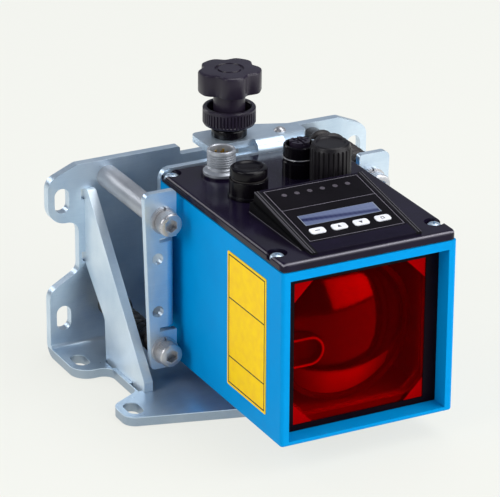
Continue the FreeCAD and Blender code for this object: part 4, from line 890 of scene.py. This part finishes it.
def turned(name, section, steps):
    """A round piece about the z axis from a chain of (radius, height) points in millimetres."""
    piece = fresh(bpy.ops.mesh.primitive_plane_add, size=MM)
    piece.name = name
    bpy.ops.object.mode_set(mode="EDIT")
    bpy.ops.mesh.merge(type="CENTER")
    bpy.ops.transform.translate(value=(section[0][0] * MM, 0.0, section[0][1] * MM))
    for (radius, height), (next_radius, next_height) in zip(section, section[1:]):
        step = ((next_radius - radius) * MM, 0.0, (next_height - height) * MM)
        bpy.ops.mesh.extrude_vertices_move(TRANSFORM_OT_translate={"value": step})
    bpy.ops.mesh.select_all(action="SELECT")
    bpy.ops.mesh.spin(steps=steps, angle=2 * math.pi, center=(0.0, 0.0, 0.0), axis=(0.0, 0.0, 1.0))
    bpy.ops.mesh.select_all(action="SELECT")
    bpy.ops.mesh.remove_doubles(threshold=SEAM_DISTANCE)
    bpy.ops.mesh.normals_make_consistent(inside=False)
    bpy.ops.object.mode_set(mode="OBJECT")
    return piece


def settle(piece, axis, lying=False):
    """Moves a piece to its axis, lying along y if asked, and keeps that place in its mesh."""
    piece.location = (axis.x * MM, 0.0, axis.z * MM) if lying else (axis.x * MM, axis.y * MM, 0.0)
    piece.rotation_euler.x = -math.pi / 2 if lying else 0.0
    only(piece)
    bpy.ops.object.transform_apply(location=True, rotation=True, scale=True)
    bpy.ops.object.shade_smooth_by_angle(angle=SMOOTH_ANGLE)


def near(radius, height, *distances):
    """Section points given by their distances from a radius and a height."""
    return [(radius + across, height + up) for across, up in distances]


print("lathe ready")

# %% [markdown]
# ## The power plug
# The plug is a nickel-plated M12 shell with an outside thread, standing on a flared flange. The thread
# could be a helix made with the Screw modifier. At this size nobody can tell a helix from rings, and
# rings close cleanly at both ends, so the lathe's section simply zigzags once for each turn.

# %% Thread and plug shell
THREAD_PITCH = 1.0
THREAD_DEPTH = 0.55
PLUG_RADIUS = 6.0
PLUG_BORE = 4.7
PLUG_HEIGHT = 10.5


def measured(node):
    """A node's box in millimetres: its middle, lowest and highest corner, and half of its width."""
    low, high = (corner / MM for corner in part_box(node))
    return (low + high) / 2, low, high, (high.x - low.x) / 2


def thread(bottom, top, crest):
    """The zigzag of a thread from bottom to top."""
    zigzag = ((-THREAD_DEPTH, 0.0), (0.0, 0.4 * THREAD_PITCH), (0.0, 0.6 * THREAD_PITCH))
    chain = []
    for turn_number in range(round((top - bottom) / THREAD_PITCH)):
        chain += near(crest, bottom + turn_number * THREAD_PITCH, *zigzag)
    return chain


def plug_shell():
    middle, _, high, flange = measured("power_plug")
    shell, bore = PLUG_RADIUS, PLUG_BORE
    seat = measured("power_pins")[1].z
    rim = high.z
    base = rim - PLUG_HEIGHT
    section = [(0.0, seat), (bore, seat)] + near(bore, rim, (0.0, -0.4), (0.4, 0.0))
    section += near(shell, rim, (-0.5, 0.0), (-0.2, -0.3))
    section += reversed(thread(base + 3.6, rim - 0.6, shell))
    section += near(shell, base, (-0.6, 3.2), (0.0, 2.6), (0.1, 1.9))
    section += near(flange, base, (-0.6, 1.5), (0.0, 1.0), (0.0, 0.0)) + [(0.0, base)]
    piece = turned("power_plug_shell", section, steps=64)
    settle(piece, middle)
    adopt(piece, "carrier", "plug_metal", "plug_metal", "power_plug")


plug_shell()

# %% [markdown]
# ## The folds of a sleeve
# Behind the ears, each adjusting screw runs through a ribbed rubber sleeve. A row of round beads would be
# simpler to draw, but looks like a spring. So each fold follows half a wave, a little fuller than a sine,
# with narrow valleys between. A squeezed sleeve never folds quite evenly, so each crest is tipped a
# little.

# %% Folds
FOLD_POINTS = 10
FULLNESS = 0.6
SLEEVE_BORE = 3.3
CREST_SHARE = 0.36
LEAN = 5.0
LEAN_CHANGE = 2.5
LEAN_RHYTHM = 2.3


def reshape(piece, test, change, **values):
    """Changes those points of a piece whose place passes a test."""
    only(piece)
    bpy.ops.object.mode_set(mode="EDIT")
    bpy.ops.mesh.select_mode(type="VERT")
    bpy.ops.mesh.select_all(action="DESELECT")
    bpy.ops.object.mode_set(mode="OBJECT")
    for point in piece.data.vertices:
        point.select = test(point.co / MM)
    bpy.ops.object.mode_set(mode="EDIT")
    change(**values)
    bpy.ops.object.mode_set(mode="OBJECT")


def fold_chain(start, length, crest, depth):
    """One fold of a sleeve, from valley to valley."""
    chain = []
    for step in range(FOLD_POINTS):
        share = step / FOLD_POINTS
        swell = math.sin(math.pi * share) ** FULLNESS
        chain.append((crest - depth + depth * swell, start + length * share))
    return chain


def lean_fold(piece, number, start, length):
    """Tips the crest of one fold."""
    middle = start + length / 2

    def on_crest(place):
        outside = math.hypot(place.x, place.y) > SLEEVE_BORE + 0.1
        return outside and abs(place.z - middle) < CREST_SHARE * length

    lean = math.radians(LEAN + LEAN_CHANGE * math.sin(LEAN_RHYTHM * number))
    reshape(piece, on_crest, bpy.ops.transform.rotate, value=lean, orient_axis="Y",
            center_override=(0.0, 0.0, middle * MM))


print("folds ready")

# %% [markdown]
# ## The rubber sleeves
# Each sleeve is turned in one piece with its cuff. The upper one is wide and narrows over its last two
# folds, and the lower one is slim with one wider fold at its end. The front end moves with the screw, and
# the cuff stays on the bracket's boss.

# %% Folded sleeves
FOLDS = 10
FOLD_DEPTH = 1.5
SLIM_DEPTH = 0.7 * FOLD_DEPTH
SLIM_CREST = 4.9
END_CREST = 7.0
CUFF_LENGTH = 6.5
CUFF_RADIUS = 5.4
CUFF_BORE = SLEEVE_BORE + 0.9


def sleeve(node, name, crests):
    middle, low, high, _ = measured(node)
    cuff = high.y - CUFF_LENGTH
    fold = (cuff - low.y) / FOLDS
    section = [(SLEEVE_BORE, low.y)]
    for number, crest in enumerate(crests):
        depth = FOLD_DEPTH if crest > SLIM_CREST else SLIM_DEPTH
        section += fold_chain(low.y + number * fold, fold, crest, depth)
    section += [(CUFF_RADIUS, cuff + 0.4)] + near(CUFF_RADIUS, high.y, (0.0, -0.4), (-0.4, 0.0))
    section += [(CUFF_BORE, high.y), (CUFF_BORE, cuff), (SLEEVE_BORE, cuff), (SLEEVE_BORE, low.y)]
    piece = turned(name, section, steps=56)
    for number in range(FOLDS):
        lean_fold(piece, number, low.y + number * fold, fold)
    settle(piece, middle, lying=True)
    dress(piece, "black_rubber")
    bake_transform(piece)
    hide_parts(node)
    print(name, "faces:", len(piece.data.polygons))


full_crest = measured("upper_bellows")[3] - 0.1
sleeve("upper_bellows", "upper_sleeve", [full_crest] * 8 + [END_CREST] * 2)
sleeve("lower_bellows", "lower_sleeve", [SLIM_CREST] * 9 + [END_CREST])

# %% [markdown]
# ## Knurls, flutes and cuts
# Three more moves finish the turned pieces. Points are picked by their place, never by number, so the
# pick still works when a section changes. Every few columns of a band are drawn towards the axis, which
# gives flutes with round backs. A recess is cut with the Boolean modifier, and its cutter is deleted at
# once.

# %% Fluting and cutting
BAND_PLAY = 0.05


def draw_in(piece, count, columns, shift, low, high, beyond, share):
    """Draws one column of every group towards the axis, between two heights and beyond a radius."""
    step = 2 * math.pi / (count * columns)

    def in_column(place):
        column = round(math.atan2(place.y, place.x) / step)
        on_band = low <= place.z <= high and math.hypot(place.x, place.y) > beyond
        return on_band and (column - shift) % columns == 0

    reshape(piece, in_column, bpy.ops.transform.resize, value=(share, share, 1.0),
            center_override=(0.0, 0.0, 0.0))


def flute(piece, count, columns, low, high, radius, depth):
    """Cuts narrow flutes into a round band."""
    draw_in(piece, count, columns, 0, low, high, radius - BAND_PLAY, 1 - depth / radius)


def cut_out(piece, cutter):
    """Takes one shape out of another and deletes the cutter."""
    only(piece)
    change = piece.modifiers.new("cut", "BOOLEAN")
    change.operation = "DIFFERENCE"
    change.object = cutter
    bpy.ops.object.modifier_apply(modifier=change.name)
    bpy.data.objects.remove(cutter)


print("flutes and cuts ready")

# %% [markdown]
# ## Socket screws
# Three M6 screws with cylinder heads hold the carrier's ears. A bought screw of this kind has a knurled
# head, a small bevel round its face and a hexagon socket for a 5 mm key. The knurl is cut with the flutes
# above. A spin makes only round shapes, so the socket is cut with a six-sided bar. The washer of the
# pivot screw tilts with the carrier, so that head stands off by the little that the tilt needs.

# %% Cylinder-head screws
KEY_SIZE = 5.0
SOCKET_DEPTH = 3.0
HEAD_KNURLS = 36
KNURL_COLUMNS = 3
KNURL_DEPTH = 0.25
HEAD_HEIGHT_SHARE = 1.2
SHANK_SHARE = 0.6
TILT_PLAY = 0.16


def hexagon_cutter(size, height, depth):
    """A six-sided bar whose middle lies in a face, so that half of it cuts to the depth."""
    return fresh(bpy.ops.mesh.primitive_cylinder_add, vertices=6, radius=size / math.sqrt(3) * MM,
                 depth=2 * depth * MM, location=(0.0, 0.0, height * MM))


def socket_screw(node, name, body, play):
    middle, low, high, head = measured(node)
    shank = SHANK_SHARE * head
    face = low.y
    seat = face + HEAD_HEIGHT_SHARE * head - play
    section = [(0.0, face)] + near(head, face, (-0.75, 0.0), (-0.3, 0.2), (0.0, 0.7), (0.0, 1.1))
    section += near(head, seat, (0.0, -0.8), (-0.3, 0.0)) + [(shank, seat)]
    section += near(shank, high.y, (0.0, -0.6), (-0.6, 0.0)) + [(0.0, high.y)]
    piece = turned(name, section, steps=KNURL_COLUMNS * HEAD_KNURLS)
    flute(piece, HEAD_KNURLS, KNURL_COLUMNS, face + 1.0, seat - 0.7, head, KNURL_DEPTH)
    cut_out(piece, hexagon_cutter(KEY_SIZE, face, SOCKET_DEPTH))
    settle(piece, middle, lying=True)
    adopt(piece, body, "plated_steel", "plated_steel", node)


socket_screw("pivot_screw", "pivot_socket_screw", "bracket", TILT_PLAY)
socket_screw("lower_adjuster_screw", "lower_socket_screw", "lower_screw", 0.0)
socket_screw("upper_adjuster_screw", "upper_socket_screw", "upper_screw", 0.0)

# %% [markdown]
# ## Cover screws
# Four zinc-plated pan-head screws with a cross recess hold the cover down, one in each corner pocket. One
# screw is turned and cut, and three copies of it follow, each turned a little differently as a driver
# would leave them.

# %% Pan-head screws
CROSS_LENGTH = 3.4
CROSS_WIDTH = 0.7
CROSS_DEPTH = 1.0
PAN_RADIUS = 3.0
PAN_HEIGHT = 2.0
FIRST_TURN = 0.4
NEXT_TURN = 1.1


def cross_bar(turn_angle, height):
    return fresh(bpy.ops.mesh.primitive_cube_add, size=1.0, location=(0.0, 0.0, height * MM),
                 rotation=(0.0, 0.0, turn_angle),
                 scale=(CROSS_LENGTH * MM, CROSS_WIDTH * MM, 2 * CROSS_DEPTH * MM))


def pan_pattern(top):
    """One screw about the z axis with its cross recess."""
    head, seat = PAN_RADIUS, top - PAN_HEIGHT
    section = [(0.0, seat), (head, seat), (head, seat + 0.6), (0.93 * head, seat + 1.1)]
    section += [(0.75 * head, seat + 1.6), (0.45 * head, top - 0.08), (0.0, top)]
    pattern = turned("pan_screw_1", section, steps=48)
    for quarter in (0.0, math.pi / 2):
        cut_out(pattern, cross_bar(quarter, top))
    return pattern


def pan_screws():
    _, low, high, _ = measured("cover_screws")
    screws = [pan_pattern(high.z)]
    screws += [put(f"pan_screw_{number}", screws[0].data.copy()) for number in (2, 3, 4)]
    columns = (low.x + PAN_RADIUS, high.x - PAN_RADIUS)
    rows = (low.y + PAN_RADIUS, high.y - PAN_RADIUS)
    corners = [Vector((x, y, 0.0)) for x in columns for y in rows]
    for number, (piece, corner) in enumerate(zip(screws, corners)):
        piece.rotation_euler.z = FIRST_TURN + NEXT_TURN * number
        settle(piece, corner)
        adopt(piece, "carrier", "plated_steel", "zinc_sheet", "cover_screws")


pan_screws()

# %% [markdown]
# ## The smooth cap and the open socket
# Next to the power plug stand a barrel with a smooth dished cap and an open socket. Both are glossy black
# mouldings. Their edges are rounded by the mould, and those thin bright edges are what the eye reads. A
# Bevel modifier could round them evenly. Drawn in the section, each edge gets the round that it has on
# the real piece.

# %% Smooth cap and open socket
CAP_PLUG_RADIUS = 5.2
SOCKET_RADIUS = 6.8
SOCKET_BORE = 5.4
SOCKET_SUNK = 7.7
GROOVE_RISE = 7.9
COLLAR_RISE = 6.6


def smooth_cap():
    middle, low, high, radius = measured("smooth_cap")
    top = high.z
    seat = measured("smooth_seal")[2].z
    section = [(0.0, top - 0.7), (0.55 * radius, top - 0.65), (0.68 * radius, top - 0.4)]
    section += [(0.74 * radius, top - 0.05), (0.80 * radius, top)]
    section += near(radius, top, (-0.8, -0.06), (-0.25, -0.35), (0.0, -0.95))
    section += near(radius, seat, (0.0, 0.5), (-0.4, 0.0))
    section += [(CAP_PLUG_RADIUS, seat), (CAP_PLUG_RADIUS, low.z), (0.0, low.z)]
    piece = turned("dished_cap", section, steps=72)
    settle(piece, middle)
    adopt(piece, "smooth", "black_plastic", "gloss_plastic", "smooth_cap")


def open_socket():
    middle, _, high, _ = measured("open_socket")
    floor = measured("open_insert")[1].z
    radius, bore, top = SOCKET_RADIUS, SOCKET_BORE, high.z
    base = measured("capped_socket")[2].z - SOCKET_SUNK
    groove = base + GROOVE_RISE
    collar = base + COLLAR_RISE
    section = [(0.0, floor), (bore, floor)] + near(bore, top, (0.0, -0.35), (0.3, 0.0))
    section += near(radius, top, (-0.35, 0.0), (0.0, -0.4))
    section += near(radius, groove, (0.0, 0.5), (-0.35, 0.2), (-0.35, -0.2), (0.0, -0.5))
    section += near(radius, collar, (0.0, 0.0), (0.3, -0.3)) + [(radius + 0.3, base), (0.0, base)]
    piece = turned("open_socket_shell", section, steps=72)
    settle(piece, middle)
    adopt(piece, "carrier", "black_plastic", "gloss_plastic", "open_socket")


smooth_cap()
open_socket()

# %% [markdown]
# ## The fluted cap and the lock ring
# A tall satin cap beside them is fluted for the fingers, and the clamp's lock ring has finer ribs. Each
# flute could be cut by a cutter of its own. Drawing in every fourth column of the turned band gives all
# of them at once, with round backs.

# %% Fluted cap and lock ring
FLUTE_COLUMNS = 4
CAP_FLUTES = 26
CAP_FLUTE_DEPTH = 0.6
CAP_BORE = 6.1
LOCK_RIBS = 48
LOCK_RIB_DEPTH = 0.5
LOCK_BORE = 4.05
LOCK_FLOOR = 2.6


def fluted_cap():
    middle, low, high, radius = measured("knurled_cap")
    top = high.z
    section = [(CAP_BORE, low.z)] + near(radius, low.z, (-0.7, 0.0), (-0.1, 0.6), (0.0, 1.0))
    section += near(radius, top, (0.0, -2.4), (-0.3, -1.7), (-0.45, -1.4), (-0.5, -1.1))
    section += near(radius, top, (-0.8, -0.4), (-1.4, 0.0), (-2.3, 0.0), (-2.9, -0.5))
    section += near(0.0, top, (0.0, -0.55), (0.0, -3.0)) + [(CAP_BORE, top - 3.0), (CAP_BORE, low.z)]
    piece = turned("fluted_cap", section, steps=FLUTE_COLUMNS * CAP_FLUTES)
    flute(piece, CAP_FLUTES, FLUTE_COLUMNS, low.z + 0.9, top - 2.3, radius, CAP_FLUTE_DEPTH)
    settle(piece, middle)
    adopt(piece, "knurled", "black_plastic", "cap_plastic", "knurled_cap")


def ribbed_ring():
    middle, low, high, radius = measured("lock_ring")
    top, floor = high.z, low.z + LOCK_FLOOR
    section = [(LOCK_BORE, low.z)]
    section += near(radius, low.z, (-1.2, 0.0), (-0.45, 0.35), (0.0, 1.2), (0.0, 1.6))
    section += near(radius, top, (0.0, -1.7), (0.0, -1.3), (0.0, -0.5), (-0.4, 0.0))
    section += near(radius, top, (-1.7, 0.0), (-2.0, -0.4)) + [(radius - 2.0, floor)]
    section += [(LOCK_BORE, floor), (LOCK_BORE, low.z)]
    piece = turned("ribbed_ring", section, steps=FLUTE_COLUMNS * LOCK_RIBS)
    flute(piece, LOCK_RIBS, FLUTE_COLUMNS, low.z + 1.5, top - 1.6, radius, LOCK_RIB_DEPTH)
    settle(piece, middle)
    adopt(piece, "lock", "black_plastic", "black_plastic", "lock_ring")


fluted_cap()
ribbed_ring()

# %% [markdown]
# ## Knob and collar
# The clamp has a knob with five broad lobes, moulded in one piece with its hub, and turns in a round
# collar. The knob could be a star drawn flat and pulled up. Starting from a turned disc keeps its rounded
# rims, and drawing in several columns beside each other, the middle one most, gives the shallow valleys
# between the lobes.

# %% Star knob and collar
LOBES = 5
LOBE_COLUMNS = 20
VALLEY_SPREAD = 7
VALLEY_DEPTH = 2.4
VALLEY_FROM = 8.0
HUB_RADIUS = 6.7
KNOB_HEIGHT = 9.6
GROOVE_DEPTH = 0.6
COLLAR_BORE = 4.1
COLLAR_RADIUS = 7.5


def lobed_knob():
    _, low, high, _ = measured("star_knob")
    axis = measured("lock_ring")[0]
    radius = axis.y - low.y
    top, under = high.z, high.z - KNOB_HEIGHT
    section = [(0.0, low.z), (HUB_RADIUS, low.z)] + near(HUB_RADIUS, under, (0.0, -0.4), (0.5, 0.0))
    section += near(radius, under, (-0.9, 0.0), (-0.25, 0.25), (0.0, 0.9))
    section += near(radius, top, (0.0, -1.0), (-0.2, -0.45), (-0.7, -0.1), (-1.7, 0.0))
    section += near(0.0, top, (6.2, 0.0), (6.0, -GROOVE_DEPTH), (4.9, -GROOVE_DEPTH), (4.7, 0.0))
    section += [(0.0, top)]
    piece = turned("lobed_knob", section, steps=LOBES * LOBE_COLUMNS)
    for shift in range(1 - VALLEY_SPREAD, VALLEY_SPREAD):
        depth = VALLEY_DEPTH * (0.5 + 0.5 * math.cos(math.pi * shift / VALLEY_SPREAD))
        draw_in(piece, LOBES, LOBE_COLUMNS, shift, under - 0.1, top, VALLEY_FROM, 1 - depth / radius)
    settle(piece, axis)
    adopt(piece, "knob", "black_plastic", "black_plastic", "star_knob")


def round_collar():
    middle, low, high, _ = measured("clamp_bush")
    flange = measured("carrier_plate")[2].z
    radius, top = COLLAR_RADIUS, high.z
    section = [(COLLAR_BORE, low.z), (radius - 2.0, low.z)]
    section += near(radius, flange, (-2.0, 0.0), (-0.4, 0.0), (0.0, 0.4))
    section += near(radius, top, (0.0, -1.4), (-0.2, -0.7), (-0.9, 0.0))
    section += [(COLLAR_BORE, top), (COLLAR_BORE, low.z)]
    piece = turned("clamp_collar", section, steps=64)
    settle(piece, middle)
    adopt(piece, "carrier", "black_plastic", "gloss_plastic", "clamp_bush")


lobed_knob()
round_collar()

# %% [markdown]
# ## A retaining ring
# A thin bright ring sits in the groove of the open socket. It is small, but it is the only light line on
# a black plug, so the eye misses it at once. A turned bead is enough.

# %% Ring of the open socket
RING_HEIGHT = 97.2
RING_OUTER = 6.95
RING_INNER = 6.4
BEAD_POINTS = 12


def retaining_ring():
    middle = measured("open_socket")[0]
    half = (RING_OUTER - RING_INNER) / 2
    section = []
    for step in range(BEAD_POINTS + 1):
        angle = 2 * math.pi * step / BEAD_POINTS
        section.append((RING_INNER + half + half * math.cos(angle), RING_HEIGHT + half * math.sin(angle)))
    piece = turned("retaining_ring", section, steps=72)
    settle(piece, middle)
    adopt(piece, "carrier", "plated_steel", "plated_steel")


retaining_ring()

# %% [markdown]
# ## The collecting lens
# Behind the window lies one large lens. Its dome could be cut from a ball. On the lathe it is an arc of
# points worked out from the dome's radius and height. The tube of the outgoing beam stands in front of
# its left half, so the lens is notched there: half of a round bar is drawn out to the left, and the bar
# is taken away.

# %% Lens
DOME_HEIGHT = 9.5
DOME_STEPS = 16
NOTCH_PLAY = 0.3
NOTCH_REACH = 20.0


def notch_cutter():
    middle, low, high, _ = measured("emitter_tube")
    half = (high.z - low.z) / 2
    centre = high.x - half
    cutter = fresh(
        bpy.ops.mesh.primitive_cylinder_add, vertices=48, radius=(half + NOTCH_PLAY) * MM,
        depth=(high.y - low.y + 2 * NOTCH_PLAY) * MM, rotation=(math.pi / 2, 0.0, 0.0),
        location=(centre * MM, middle.y * MM, middle.z * MM))
    bpy.ops.object.transform_apply(location=True, rotation=True, scale=True)
    reshape(cutter, lambda place: place.x < centre, bpy.ops.transform.translate,
            value=(-NOTCH_REACH * MM, 0.0, 0.0))
    return cutter


def lens_dome():
    middle, low, high, radius = measured("main_lens")
    ball = (radius ** 2 + DOME_HEIGHT ** 2) / (2 * DOME_HEIGHT)
    reach = math.asin(radius / ball)
    section = []
    for step in range(DOME_STEPS + 1):
        angle = reach * step / DOME_STEPS
        section.append((ball * math.sin(angle), low.y + ball * (1 - math.cos(angle))))
    section += [(radius, high.y), (0.0, high.y)]
    piece = turned("collecting_lens", section, steps=96)
    settle(piece, middle, lying=True)
    cut_out(piece, notch_cutter())
    adopt(piece, "carrier", "lens_glass", "lens_glass", "main_lens")


lens_dome()
